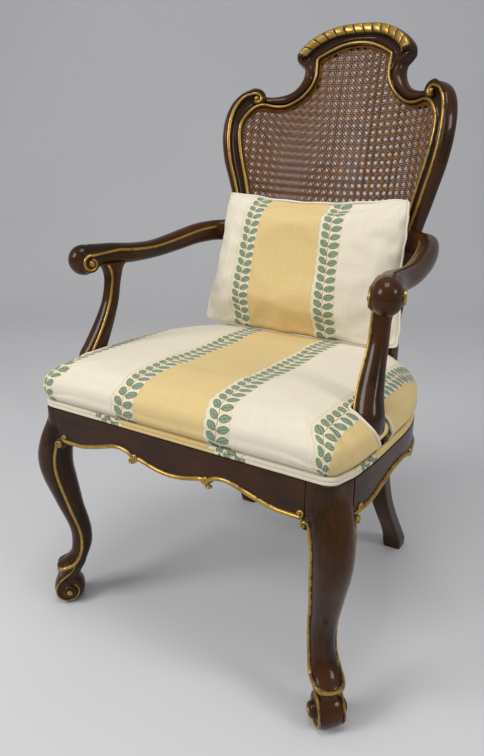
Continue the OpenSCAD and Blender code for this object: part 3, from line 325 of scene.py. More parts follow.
def mirrored(obj, name):
    """The same piece for the other side of the chair, with its own mesh."""
    bpy.ops.object.select_all(action="DESELECT")
    obj.select_set(True)
    bpy.context.view_layer.objects.active = obj
    bpy.ops.object.duplicate()
    twin = bpy.context.object
    twin.name = twin.data.name = name
    edit(twin)
    bpy.ops.transform.resize(value=(-1, 1, 1), center_override=(0, 0, 0))
    bpy.ops.mesh.flip_normals()
    bpy.ops.object.mode_set(mode="OBJECT")
    return twin


def join(name, parts):
    """Join pieces into one object, which keeps the first one's finish."""
    bpy.ops.object.select_all(action="DESELECT")
    for part in parts:
        part.select_set(True)
    bpy.context.view_layer.objects.active = parts[0]
    bpy.ops.object.join()
    parts[0].name = parts[0].data.name = name
    return parts[0]


def dress(obj, finish, slot, *stands_for, body="chair"):
    """Give a piece its finish and its body, and hide the nodes that it stands for."""
    obj.data.materials.clear()
    obj.data.materials.append(finish)
    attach(obj, body)
    if stands_for:
        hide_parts(*stands_for)
    print(obj.name, len(obj.data.polygons), "faces")


def dress_pair(right, left_name, finish, slot, node):
    """Copy a right-hand piece to the left, and dress both."""
    dress(mirrored(right, left_name), finish, slot, node + "_left")
    dress(right, finish, slot, node + "_right")


def unit(v):
    """Each row of an array, made one long."""
    v = np.asarray(v, float)
    return v / np.linalg.norm(v, axis=-1, keepdims=True)


def heading(line, loop=False):
    """Direction along a line at each of its points."""
    if loop:
        return unit(np.roll(line, -1, 0) - np.roll(line, 1, 0))
    return unit(np.vstack([line[1:2] - line[:1], line[2:] - line[:-2], line[-1:] - line[-2:-1]]))


def leftward(line, loop=False):
    """Direction square to a flat line, to the left of its heading."""
    ahead = heading(line, loop)
    return np.stack([-ahead[:, 1], ahead[:, 0]], 1)


def strip(line, outs, section, loop=False, swell=1):
    """Rings of a section of [across, out] places, carried along a line, wider where it swells."""
    line, outs = np.asarray(line, float), unit(outs)
    section = section[None] * np.reshape(swell, (-1, 1, 1))
    side = unit(np.cross(heading(line, loop), outs))
    return line[:, None] + side[:, None] * section[..., :1] + outs[:, None] * section[..., 1:]


def half_round(width, height, sink=0.6):
    """Section of a bead: a half round that sinks a little into its seat."""
    a = np.linspace(0, np.pi, 9)
    arch = np.stack([-width / 2 * np.cos(a), height * np.sin(a)], 1)
    return np.vstack([[-width / 2, -sink], arch, [width / 2, -sink]])


def bead_foot_shade(section, height, count):
    """Painted shade for a number of rings of a bead: full at its foot, none on its crest."""
    return np.tile(np.clip(1.2 - section[:, 1] / height * 2, 0, 1), (count, 1))


def tube(radius, count=10):
    """Section of a round cord."""
    a = np.linspace(0, 2 * np.pi, count, endpoint=False)
    return np.stack([-radius * np.cos(a), radius * np.sin(a)], 1)


print("helpers ready")

# %% [markdown]
# ## Walnut
#
# The frame is stained walnut under a hand-rubbed satin polish. Long dark streaks and
# short pores follow the grain, a slow cloud of redder and browner wood lies under them,
# and the hollows are painted darker, as shade, over some old polish. One group
# works out streaks, pores and cloud from a place in metres, with the grain along its
# second axis. Mouldings hand it their UV map, so the grain bends with the wood; carved
# pieces hand it object coordinates, turned so that the grain runs the long way.

# %% Build the wood's group
figure_group, put, out = new_group(
    "walnut_figure", {"Place": "Vector"}, {"Streak": "Float", "Pore": "Float", "Cloud": "Float"})
drawn = add(figure_group, "Mapping", {"Vector": put["Place"], "Scale": (1, 0.07, 1)}).outputs[0]
bent = noise(figure_group, drawn, 26.0, 3.0, Distortion=0.6)
fine = noise(figure_group, drawn, 240.0)
step = maths(figure_group)
streak = step("ADD", step("MULTIPLY", bent, 0.65), step("MULTIPLY", fine, 0.35))
figure_group.links.new(stretch(figure_group, streak, 0.36, 0.64), out["Streak"])
hair = add(figure_group, "Mapping", {"Vector": put["Place"], "Scale": (1, 0.035, 1)}).outputs[0]
pores = noise(figure_group, hair, 900.0, 1.0)
figure_group.links.new(stretch(figure_group, pores, 0.6, 0.72), out["Pore"])
slow = noise(figure_group, put["Place"], 9.0)
figure_group.links.new(stretch(figure_group, slow, 0.35, 0.65), out["Cloud"])
print("walnut figure ready")

# %% [markdown]
# The polished wood itself: the group's streaks mix a dark and a warm brown, the cloud
# shifts it to red, and the pores darken it again. The hollows are painted darker, as
# shade over some old polish. On a moulding the stored shade_and_hold value says where
# they are. A carved piece has no such value, so Blender's pointiness finds its hollows,
# and its worn ridges too, which show paler.

# %% Mix the polished walnut
def walnut(name, turn=None, carved=False):
    """Polished walnut. turn lays the grain along the piece; carved pieces have no UV map."""
    finish, tree, shader = new_finish(name, Specular_IOR_Level=0.1, Coat_Weight=0.28, Coat_Roughness=0.05)
    place = places(tree, "Object" if turn else "UV")
    if turn:
        turned = tuple(math.radians(a) for a in turn)
        place = add(tree, "Mapping", {"Vector": place, "Rotation": turned}).outputs[0]
    figure = use_group(tree, figure_group, Place=place)
    step = maths(tree)
    brown = blend_colour(tree, figure["Streak"], seen(19, 12, 5), seen(64, 38, 12))
    warm = blend_colour(tree, step("MULTIPLY", figure["Cloud"], 0.6), brown, seen(74, 38, 9))
    dark = blend_colour(tree, step("MULTIPLY", figure["Pore"], 0.35), warm, seen(28, 15, 9))
    if carved:
        # pointiness: the hollows get painted shade below, the worn ridges a paler wear colour
        edge = add(tree, "NewGeometry").outputs["Pointiness"]
        hollow = stretch(tree, edge, 0.5, 0.44)
        worn = stretch(tree, edge, 0.52, 0.58)
        dark = blend_colour(tree, step("MULTIPLY", worn, 0.35), dark, seen(116, 64, 26))
    else:
        hollow = add(tree, "Attribute", attribute_name="shade_and_hold").outputs["Fac"]
    # painted shade: the hollows are darkened toward near black
    dark = blend_colour(tree, step("MULTIPLY", hollow, 0.72), dark, seen(18, 10, 7))
    paint(tree, shader, dark)
    rough = add(tree, "MapRange", {0: figure["Streak"], 3: 0.36, 4: 0.26}).outputs[0]
    tree.links.new(step("ADD", rough, step("MULTIPLY", hollow, 0.2)), shader.inputs["Roughness"])
    bump(tree, shader, step("SUBTRACT", figure["Streak"], figure["Pore"]), 0.00012, 0.5)
    return finish


moulded_walnut = walnut("walnut_moulded")
upright_walnut = walnut("walnut_upright", (90, 0, 0), carved=True)
arm_walnut = walnut("walnut_arm", (0, 0, 0.1), carved=True)
print("walnut mixed for mouldings, legs and arms")

# %% [markdown]
# ## Gilding
#
# The beads are water gilt over a dark ground and rubbed, with small bare patches. Along
# each bead's foot the gold is painted toward umber, as shade over some umber glaze, which
# leaves the crest bright. The gold is a metal with a warm colour; the patches and the
# painted foot fall back to dull brown. The stored shade_and_hold value is 1 where a bead
# meets its seat.

# %% Mix the gilding
gilding, tree, shader = new_finish("rubbed_gilding", Metallic=0.85, Roughness=0.36)
place = places(tree)
step = maths(tree)
# foot: painted shade where a bead meets its seat, toward dull brown
foot = add(tree, "Attribute", attribute_name="shade_and_hold").outputs["Fac"]
patch = noise(tree, place, 100.0)
bare = stretch(tree, step("ADD", patch, step("MULTIPLY", foot, 0.3)), 0.56, 0.86)
tone = noise(tree, place, 35.0)
leaf_gold = blend_colour(tree, tone, seen(126, 96, 42), seen(206, 172, 92))
paint(tree, shader, blend_colour(tree, bare, leaf_gold, seen(64, 40, 20)))
tree.links.new(step("MULTIPLY_ADD", bare, 0.3, 0.32), shader.inputs["Roughness"])
tree.links.new(step("MULTIPLY_ADD", bare, -0.75, 0.85), shader.inputs["Metallic"])
bump(tree, shader, patch, 0.0003, 0.6)
print("gilding mixed")

# %% [markdown]
# ## The back: a sheet bent in plan and leaned back
#
# The back frame was sawn from thick boards, bent in plan to fit a sitter's shoulders
# and raked. Everything on it is drawn flat, as across and up, and then laid on the bent
# sheet: x across, v up the slope, w out of its front face.
#
# FRONT is how far the seat's front edge lies ahead of the chair's middle line, BACK_R
# the radius of the bend, BACK_T the thickness. COVE is the depth of the hollow between
# the beads, EDGE the softness of a corner, LIP the step inside the inner bead.

# %% Set out the bent sheet
FRONT = 346
BACK_HALF_W, BACK_H, BACK_Z, BACK_Y = 246, 575, 578, 556 - FRONT
BACK_R, BACK_T, RAKE = 345, 29, math.radians(12.4)
BEAD_W, COVE, EDGE, LIP = 8, 4, 3, 1


def on_back(place):
    """Lay places of x, v and w on the bent, raked sheet of the back."""
    x, v, w = np.moveaxis(np.asarray(place, float), -1, 0)
    turn = np.arcsin(x / BACK_R)
    ahead = BACK_R - (BACK_R - w) * np.cos(turn)
    return np.stack([
        (BACK_R - w) * np.sin(turn),
        BACK_Y + v * math.sin(RAKE) - ahead * math.cos(RAKE),
        BACK_Z + v * math.cos(RAKE) + ahead * math.sin(RAKE)], -1)


def slope_of(x, rise):
    """Place up the slope of a point on the front face, from its height."""
    return (rise - (BACK_R - np.sqrt(BACK_R**2 - x**2)) * math.sin(RAKE)) / math.cos(RAKE)


print("foot of the back at", on_back([0, 0, 0]), "mm")

# %% [markdown]
# The table gives the frame's outline from the foot of a stile to the top of the crest:
# the outer edge and the inner edge (shares of the half width and of the height), the
# width of the outer roll and of the seat for the gilding (shares of a bead's width), and
# how far the hollow between the beads has swelled into the round moulding of the neck.
# Some of its rows have names, because other pieces start there: the joint of stile and
# crest rail, the shoulder scroll and the foot of the crest.

# %% Draw the frame's outline
outline = np.array([
    [0.763, 0.000, 0.634, 0.000, 0.45, 1, 0], [0.767, 0.113, 0.634, 0.110, 0.45, 1, 0],
    [0.791, 0.209, 0.667, 0.203, 0.45, 1, 0], [0.836, 0.308, 0.716, 0.304, 0.45, 1, 0],
    [0.887, 0.384, 0.760, 0.379, 0.45, 1, 0], [0.928, 0.449, 0.797, 0.447, 0.45, 1, 0],
    [0.970, 0.517, 0.833, 0.510, 0.45, 1, 0], [0.995, 0.586, 0.862, 0.562, 0.45, 1, 0],
    [1.000, 0.635, 0.878, 0.609, 0.45, 1, 0], [0.993, 0.678, 0.878, 0.642, 0.45, 1, 0],
    [0.974, 0.715, 0.862, 0.666, 0.45, 1, 0], [0.946, 0.742, 0.833, 0.687, 0.45, 1, 0],
    [0.905, 0.763, 0.805, 0.701, 0.45, 1, 0], [0.852, 0.775, 0.772, 0.710, 0.45, 1, 0.1],
    [0.801, 0.776, 0.743, 0.712, 0.45, 1, 0.3], [0.766, 0.767, 0.724, 0.712, 0.5, 1, 0.6],
    [0.740, 0.755, 0.699, 0.710, 0.5, 1, 0.8], [0.664, 0.753, 0.642, 0.705, 0.5, 1, 1],
    [0.561, 0.764, 0.561, 0.708, 0.5, 1, 1], [0.492, 0.787, 0.455, 0.732, 0.5, 1, 1],
    [0.452, 0.822, 0.382, 0.763, 0.5, 1, 1], [0.455, 0.857, 0.342, 0.793, 0.5, 1, 1],
    [0.516, 0.881, 0.325, 0.823, 0.4, 2, 0.6], [0.522, 0.899, 0.325, 0.854, 0.2, 2.7, 0.2],
    [0.502, 0.919, 0.325, 0.878, 0.2, 2.7, 0], [0.447, 0.943, 0.273, 0.892, 0.2, 2.7, 0],
    [0.370, 0.966, 0.216, 0.904, 0.2, 2.7, 0], [0.280, 0.983, 0.155, 0.914, 0.2, 2.7, 0],
    [0.191, 0.993, 0.101, 0.920, 0.2, 2.7, 0], [0.094, 0.998, 0.049, 0.923, 0.2, 2.7, 0],
    [0.000, 1.000, 0.000, 0.924, 0.2, 2.7, 0]])
JOINT_ROW, SCROLL_ROW, CREST_ROW, FINE = 6, 14, 22, 6
outer_x, inner_x = outline[:, 0] * BACK_HALF_W, outline[:, 2] * BACK_HALF_W
outer = np.stack([outer_x, slope_of(outer_x, outline[:, 1] * BACK_H)], 1)
inner = np.stack([inner_x, slope_of(inner_x, outline[:, 3] * BACK_H)], 1)
outer[0, 1] = inner[0, 1] = 0
inner[JOINT_ROW, 1] = outer[JOINT_ROW, 1]
drawn = smooth(np.hstack([outer, inner, outline[:, 4:] * [BEAD_W, BEAD_W, 1]]), FINE)
outer, inner = drawn[:, :2], drawn[:, 2:4]
roll, seat, swell = drawn[:, 4], drawn[:, 5], np.clip(drawn[:, 6], 0, 1)
toward_outer = unit(outer - inner)
print("back frame drawn over", len(drawn), "places, crest at", on_back([[0, outer[-1, 1], 0]])[0])

# %% [markdown]
# The section runs from the back of the inner edge, over the seat of the inner bead, the
# hollow or the swelled neck, and the outer roll, round to the back. Its painted shade is
# highest in the hollow and beside the beads, where the wood is painted darkest, over some old polish.

# %% Draw the moulding's section
LIP_STEPS, HOLLOW_STEPS, ROLL_STEPS = 7, 17, 9


def moulding(width, roll, seat, swell):
    """Section of the frame: places across and out of the front face, and their painted shade."""
    start, end = LIP + BEAD_W, width - roll - seat
    t = np.linspace(0, 1, HOLLOW_STEPS)
    x = start + (end - start) * t
    hollow = -COVE * 1.3 * np.sin(np.pi * t) ** 0.55
    places = [[EDGE * 1.2, -BACK_T], [EDGE * 0.35, EDGE * 0.35 - BACK_T], [0, EDGE * 1.3 - BACK_T],
              [0, -BACK_T * 0.5], [0, -EDGE], [LIP * 0.2, -EDGE * 0.35], [LIP, 0]]
    shade = [0.2, 0, 0, 0, 0.1, 0.1, 0.3]
    places += [[a, b] for a, b in zip(x, hollow)]
    # painted shade in the hollow: darkest beside the beads
    shade += list(0.45 + 0.5 * np.abs(2 * t - 1) ** 2)
    turn = np.linspace(np.pi / 2, 0, ROLL_STEPS)
    places += [[width - roll + roll * math.cos(a), -BACK_T * 0.35 * (1 - math.sin(a))] for a in turn]
    shade += [0.3, 0.1] + [0] * (ROLL_STEPS - 2)
    places += [[width, -BACK_T * 0.55], [width - EDGE * 0.3, -BACK_T * 0.72],
               [width - EDGE * 0.8, -BACK_T * 0.86], [width - EDGE * 1.6, -BACK_T * 0.96],
               [width - EDGE * 2.8, -BACK_T], [width * 0.5, -BACK_T]]
    shade += [0, 0, 0, 0.1, 0.2, 0.2]
    places, shade = np.array(places), np.array(shade)
    share = (places[:, 0] - start) / (width - start)
    neck = np.where(share < 0.42, 3 - 7 * (np.clip(0.42 - share, 0, 1) / 0.42) ** 2.2,
                    3 - (3 + BACK_T * 0.35) * (np.clip(share - 0.42, 0, 1) / 0.58) ** 3)
    front = slice(LIP_STEPS, LIP_STEPS + HOLLOW_STEPS + ROLL_STEPS)
    places[front, 1] = (1 - swell) * places[front, 1] + swell * neck[front]
    # on the neck, painted shade in the groove beside the inner bead
    groove_shade = np.clip(1.1 - share * 4, 0, 1)
    shade[front] = (1 - swell) * shade[front] + swell * groove_shade[front]
    return places, shade


def frame_rings(first, last):
    """Rings of the frame between two of its drawn places, and their painted shade."""
    rings, shade_and_hold = [], []
    for i in range(first, last + 1):
        section, shade = moulding(np.linalg.norm(outer[i] - inner[i]), roll[i], seat[i], swell[i])
        flat = inner[i] + toward_outer[i] * section[:, :1]
        rings.append(on_back(np.hstack([flat, section[:, 1:]])))
        shade_and_hold.append(shade)
    return np.array(rings), np.array(shade_and_hold)


stile_rings, stile_shade = frame_rings(0, JOINT_ROW * FINE)
crest_rings, crest_shade = frame_rings(JOINT_ROW * FINE, len(drawn) - 1)
FLIP = np.array([-1, 1, 1])
print("section of", stile_rings.shape[1], "places")

# %% [markdown]
# ### Rear posts
#
# Rear leg and back stile are one piece of wood. The leg is nearly square with soft
# corners, splays backward to the floor and swells a little at the foot; above the seat
# it runs over into the frame's moulding. The leg's rings carry as many places as the
# section, so one skin covers both.

# %% Make the rear posts
SEAT_W, SEAT_D, REAR_LEG_W, REAR_LEG_X = 634, 464, 39, 202
leg_rows = smooth([
    [0, 1, 0.228, 1.02], [0.03, 1, 0.22, 1.1], [0.07, 1, 0.195, 1.0],
    [0.127, 0.995, 0.149, 0.94], [0.2, 0.985, 0.088, 0.94], [0.29, 0.965, 0.03, 0.97],
    [0.4, 0.94, -0.002, 1], [0.52, 0.925, -0.002, 1], [0.635, 0.92, 0, 1],
    [0.845, 0.92, 0, 1], [0.9, 0.905, 0.022, 0.97], [0.955, 0.875, 0.05, 0.9]], 5)
corner = [[0.16, -1], [0.04, -0.96], [0, -0.84], [0, -0.5], [0, -0.16], [0.04, -0.04], [0.14, 0]]
front = [[x, 0] for x in np.linspace(0.2, 0.84, 18)]
far = [[0.9, -0.01], [0.96, -0.04], [0.99, -0.1], [1, -0.18], [1, -0.35], [1, -0.5], [1, -0.66], [1, -0.8]]
back_edge = [[0.99, -0.88], [0.96, -0.94], [0.92, -0.98], [0.88, -1], [0.84, -1], [0.5, -1]]
square = np.array(corner + front + far + back_edge)


def leg_ring(height, across, behind, side):
    """One ring of a rear leg, from its row of shares."""
    side = side * REAR_LEG_W
    x = across * REAR_LEG_X + (square[:, 0] - 0.5) * side
    y = (1 + behind) * SEAT_D + REAR_LEG_W / 2 - (square[:, 1] + 0.5) * side - FRONT
    return np.stack([x, y, np.full(len(square), height * BACK_Z)], 1)


assert len(square) == stile_rings.shape[1], (len(square), stile_rings.shape)
rings = np.concatenate([[leg_ring(*row) for row in leg_rows], stile_rings])
shade_and_hold = np.concatenate([np.zeros((len(leg_rows), len(square))), stile_shade])
rear_right = lay("rear_post_r", rings, shade_and_hold=shade_and_hold)
dress_pair(rear_right, "rear_post_l", moulded_walnut, "show_wood", "rear_post")

# %% [markdown]
# ### Crest rail
#
# Both shoulders, the necks and the crest are one carved rail. Its moulding is laid from
# one stile to the other in a single skin. At each shoulder the outer roll turns inward
# and curls round an eye, so a tapering roll is laid along that spiral and joined on.
# A rounded hook closes each end of the gilt crest.

# %% Draw the scroll of a shoulder
EYE_X, EYE_RISE = 0.805 * BACK_HALF_W, 0.743 * BACK_H
EYE = np.array([EYE_X, slope_of(EYE_X, EYE_RISE)])


def spiral(start, end, first_radius, last_radius):
    """Places on a spiral round the eye of the scroll, 15 degrees apart."""
    angles = range(start, end, 15)
    radii = np.linspace(first_radius, last_radius, len(angles))
    return [EYE + r * np.array([math.cos(math.radians(a)), math.sin(math.radians(a))])
            for a, r in zip(angles, radii)]


def sheet_tube(line, radius, lift):
    """Rings of a round moulding along a line drawn on the back."""
    side, radius = leftward(line), np.asarray(radius)[:, None]
    a = np.linspace(0, 2 * np.pi, 14, endpoint=False)
    flat = line[:, None] + side[:, None] * (np.cos(a)[None, :, None] * radius[..., None])
    out = lift + np.sin(a)[None, :] * radius
    return on_back(np.concatenate([flat, out[..., None]], -1))


near_scroll = slice(SCROLL_ROW * FINE - 18, SCROLL_ROW * FINE - 3)
roll_line = outer[near_scroll] - toward_outer[near_scroll] * 4
roll_line = smooth(np.vstack([roll_line[::3], spiral(75, 330, 17.5, 7.5)]), 2)
thick = np.interp(np.linspace(0, 1, len(roll_line)), [0, 0.35, 1], [3, 5.5, 3])
print("scroll drawn over", len(roll_line), "places round", EYE)

# %% Make the crest rail
skin = lay("crest_rail_carved", np.concatenate([crest_rings, (crest_rings * FLIP)[-2::-1]]),
           shade_and_hold=np.concatenate([crest_shade, crest_shade[-2::-1]]))
scroll = lay("scroll_r", sheet_tube(roll_line, thick, -0.5))
at_hook = slice(CREST_ROW * FINE + 3, CREST_ROW * FINE + 9)
hook_line = outer[at_hook] - toward_outer[at_hook] * np.linspace(9, 10, 6)[:, None]
hook = lay("hook_r", sheet_tube(hook_line, [1, 6, 8.5, 9.5, 9.5, 9], 0.5))
pieces = [skin, scroll, mirrored(scroll, "scroll_l"), hook, mirrored(hook, "hook_l")]
dress(join("crest_rail_carved", pieces), moulded_walnut, "show_wood", "crest_rail")

# %% [markdown]
# ### Bottom rail of the back
#
# A lighter rail of the same moulding, let in between the stiles. Its table runs from the
# middle to a stile: the place along the rail, and the heights of its top and its foot.

# %% Make the bottom rail
ROLL_W = 5
rail_rows = smooth([
    [0, 0.070, 0.006], [0.25, 0.071, 0.006], [0.5, 0.073, 0.010], [0.7, 0.077, 0.016],
    [0.85, 0.084, 0.018], [0.94, 0.095, 0.014], [1, 0.108, 0.006]], 5)
rail_x = rail_rows[:, 0] * inner[0, 0]
rail_top = np.stack([rail_x, rail_rows[:, 1] * BACK_H], 1)
rail_foot = np.stack([rail_x, rail_rows[:, 2] * BACK_H], 1)
rings, shade_and_hold = [], []
for top, low in zip(rail_top, rail_foot):
    section, shade = moulding(np.linalg.norm(low - top), ROLL_W, BEAD_W, 0)
    rings.append(on_back(np.hstack([top + unit(low - top) * section[:, :1], section[:, 1:]])))
    shade_and_hold.append(shade)
rings, shade_and_hold = np.array(rings), np.array(shade_and_hold)
bottom = lay("back_bottom_moulding", np.concatenate([rings[::-1], (rings * FLIP)[1:]]),
             shade_and_hold=np.concatenate([shade_and_hold[::-1], shade_and_hold[1:]]))
dress(bottom, moulded_walnut, "show_wood", "back_bottom_rail")

# %% [markdown]
# ## Gilt beads of the back
#
# Each bead is a half round, carved in the solid on a real chair and gilt. Here it is a
# strip laid along the same outline and sunk a little into its seat. The inner
# bead is one closed line round the cane. The outer one starts in a small knob at the
# foot of the stile and ends in the eye of the shoulder scroll.

# %% Tools for the gilding
GILT_W, GILT_H = 5.8, 3.6
DOME = [[0, 1], [0.3, 0.97], [0.58, 0.84], [0.74, 0.62], [0.8, 0.44],
        [0.9, 0.5], [0.98, 0.42], [1, 0.2], [1, -0.1]]


def sheet_bead(line, loop=False, lift=0.0):
    """Rings of a half round on the back, along a drawn line, and the painted shade of its foot."""
    section = half_round(GILT_W, GILT_H)
    flat = line[:, None] + leftward(line, loop)[:, None] * section[None, :, :1]
    out = np.broadcast_to(section[:, 1] + lift, flat.shape[:2])[..., None]
    return on_back(np.concatenate([flat, out], -1)), bead_foot_shade(section, GILT_H, len(line))


def button(name, centre, radius, height, place):
    """A domed gilt button, spun from half its outline and put in place."""
    bpy.ops.mesh.primitive_circle_add(vertices=8, radius=1)
    obj = bpy.context.object
    edit(obj)
    bpy.ops.mesh.delete(type="VERT")
    bpy.ops.object.mode_set(mode="OBJECT")
    points = [(x * radius * MM, 0, z * height * MM) for x, z in DOME]
    obj.data.from_pydata(points, [(i, i + 1) for i in range(len(DOME) - 1)], [])
    edit(obj)
    bpy.ops.mesh.spin(steps=28, angle=2 * math.pi, center=(0, 0, 0), axis=(0, 0, 1))
    bpy.ops.mesh.select_all(action="SELECT")
    bpy.ops.mesh.remove_doubles(threshold=1e-6)
    bpy.ops.mesh.normals_make_consistent(inside=False)
    bpy.ops.object.mode_set(mode="OBJECT")
    axes = np.array(place(centre), float)
    turn = Matrix([[*row] for row in np.array([axes[1], axes[2], axes[3]]).T]).to_4x4()
    obj.data.transform(Matrix.Translation(Vector(axes[0] * MM)) @ turn)
    obj.name = obj.data.name = name
    bpy.ops.object.shade_smooth_by_angle(angle=math.radians(60))
    return obj


def back_axes(centre):
    """A place on the back's face, and the directions across, up and out of it there."""
    x, v, w = centre
    here = on_back([x, v, w])
    across, up = unit(on_back([x + 1, v, w]) - here), unit(on_back([x, v + 1, w]) - here)
    return here, across, up, np.cross(across, up)


def face_axes(across, out):
    """The same for a flat face elsewhere on the chair, at any place on it."""
    across, out = np.asarray(across, float), np.asarray(out, float)
    return lambda centre: (np.asarray(centre, float), across, np.cross(out, across), out)


print("a bead is", GILT_W, "mm wide and", GILT_H, "mm high")

# %% Gild the inner edge
inner_path = inner[::-1] + toward_outer[::-1] * (LIP + BEAD_W / 2)
inner_path = inner_path[:-2 * FINE]
rail_path = rail_top[::-1] - [0, LIP + BEAD_W / 2]
bead_half = np.vstack([inner_path, rail_path[rail_path[:, 0] < inner_path[-1, 0] - 1.5]])
rings, foot = sheet_bead(np.vstack([bead_half, (bead_half * [-1, 1])[-2:0:-1]]), loop=True)
dress(lay("inner_bead_gilt", rings, loop=True, shade_and_hold=foot), gilding, "gilding", "inner_back_bead")

# %% Gild the outer edges
KNOB_R, KNOB_H, EYE_R, EYE_H = 7, 8, 5.5, 6
stop = SCROLL_ROW * FINE - 10
outer_path = outer[:stop] - toward_outer[:stop] * (roll + seat / 2)[:stop, None]
rings, foot = sheet_bead(np.vstack([outer_path[5:], smooth(spiral(70, 300, 11.5, 6), 2)]), lift=0.3)
bead = lay("outer_bead_right", rings, shade_and_hold=foot)
eye = button("eye", (*EYE, 0.6), EYE_R, EYE_H, back_axes)
knob = button("knob", (outer_path[0, 0], KNOB_R * 1.5, 0), KNOB_R, KNOB_H, back_axes)
bead = join("outer_bead_right", [bead, eye, knob])
dress_pair(bead, "outer_bead_left", gilding, "gilding", "outer_back_bead")

# %% [markdown]
# ### Gilt crest
#
# Thirteen fat lobes lie side by side over the crest, each a little slanted, with a
# nick between them. They are one strip whose section swells and pinches along its
# length; the nicks are painted dull brown, as shade.

# %% Carve the gilt crest
LOBES, CAP_W, CAP_H, PER_LOBE, SLANT = 13, 20, 8, 16, 4.5


def even(line, gap=None, count=None):
    """The same line with its points an even gap apart, or with a count of even gaps."""
    line = np.asarray(line, float)
    run = run_of(line)
    at = np.linspace(0, run[-1], (count or int(run[-1] / gap)) + 1)
    return np.stack([np.interp(at, run, line[:, k]) for k in range(line.shape[1])], 1)


above_hook = slice(CREST_ROW * FINE + FINE, None)
cap_half = outer[above_hook][::-1]
cap_half = cap_half - toward_outer[above_hook][::-1] * (roll[-1] + CAP_W / 2)
cap_line = even(np.vstack([(cap_half * [-1, 1])[:0:-1], cap_half]), count=LOBES * PER_LOBE)
phase = (np.arange(len(cap_line)) % PER_LOBE) / PER_LOBE
lobe = np.clip(np.sin(np.pi * phase), 0, 1) ** 0.16
a = np.linspace(0, np.pi, 13)
side = leftward(cap_line)
slant = heading(cap_line)[:, None] * (np.cos(a)[None, :, None] * SLANT)
size = (0.93 + 0.07 * lobe)[:, None, None]
flat = cap_line[:, None] + side[:, None] * (-np.cos(a)[None, :, None] * CAP_W / 2 * size) + slant
out = (np.sin(a) ** 0.5)[None] * (CAP_H * (0.66 + 0.34 * lobe))[:, None] + 0.2
# painted shade: the nicks between the lobes go to bare dull brown
nick_shade = np.broadcast_to((1 - lobe)[:, None] * 3, out.shape)
crest = lay("crest_lobes_gilt", on_back(np.concatenate([flat, out[..., None]], -1)), shade_and_hold=nick_shade, sharp=80)
dress(crest, gilding, "gilding", "crest_gadroon")

# %% [markdown]
# ## Woven cane
#
# The back is double caned: two panels, one behind the other, each woven in the classic
# seven steps. Pairs of strands run up and across, and single strands run both ways on
# the slant between them, which leaves eight-sided holes. The strands are real strips
# here, because the two layers crossing each other give the chair its sparkle. Each one
# is a flat lozenge in section, rises and falls as it goes over and under, and is cut
# off where it meets the frame. There are too many of them for one operator each, so
# their faces are written into one mesh a panel.

# %% Mix the cane
cane_finish, tree, shader = new_finish("stained_cane", Roughness=0.5, Specular_IOR_Level=0.2)
place = places(tree)
shade = stretch(tree, noise(tree, place, 55.0, 3.0), 0.35, 0.65)
fibre = noise(tree, place, 900.0, 1.0)
brown = blend_colour(tree, shade, seen(86, 52, 18), seen(150, 98, 42))
paint(tree, shader, blend_colour(tree, fibre, brown, seen(100, 61, 24)))
bump(tree, shader, fibre, 0.0002, 0.4)
print("cane stained")

# %% Draw the opening in the frame
side = inner[::-1][inner[::-1][:, 1] > rail_top[-1, 1] + 1]
opening_half = np.vstack([side, rail_top[::-1]])
opening = np.vstack([opening_half, (opening_half * [-1, 1])[-2:0:-1]])


def inside(places):
    """Whether drawn places lie in the opening of the frame."""
    x, v = places[..., 0], places[..., 1]
    found = np.zeros(x.shape, bool)
    for (x0, v0), (x1, v1) in zip(opening, np.roll(opening, -1, 0)):
        if v0 != v1:
            found ^= ((v0 > v) != (v1 > v)) & (x < (x1 - x0) * (v - v0) / (v1 - v0) + x0)
    return found


print("opening drawn with", len(opening), "places")

# %% Weave a panel
PITCH, PAIR, STRAND, WEAVE_REACH = 15.9, 1.6, 1.75, 800
FIRST_PITCH, LAST_PITCH = -18, 50
LOZENGE = np.array([[-0.5, 0], [0, 0.32], [0.5, 0], [0, -0.32]]) * [STRAND, STRAND * 0.6]


def strands(direction, offset, lift, sway, sample, shift):
    """Runs of one strand inside the opening, as places of x, v and w, and its normal.

    The strand is first drawn on the sheet rolled out flat, because the bent back is
    longer than it looks from the front. sway is how far it rises and falls over a
    pitch, and where in its wave it starts.
    """
    direction = unit([direction])[0]
    normal = np.array([-direction[1], direction[0]])
    t = np.arange(-WEAVE_REACH, WEAVE_REACH, 1.0)
    start = normal * offset + [shift, 0]
    flat = start + direction * t[:, None]
    there = np.abs(flat[:, 0]) < BACK_R * 1.2
    drawn_x = BACK_R * np.sin(np.clip(flat[:, 0] / BACK_R, -1.4, 1.4))
    within = inside(np.stack([drawn_x, flat[:, 1]], 1)) & there
    edges = np.flatnonzero(np.diff(within.astype(int)))
    for first, last in zip(edges[::2] + 1, edges[1::2]):
        if last - first < 3:
            continue
        count = max(int((last - first) / sample), 2)
        s = np.linspace(t[first], t[last], count + 1)
        line = start + direction * s[:, None]
        wave = lift + sway[0] * np.sin(2 * np.pi * s / PITCH + sway[1])
        yield np.stack([BACK_R * np.sin(line[:, 0] / BACK_R), line[:, 1], wave], 1), normal


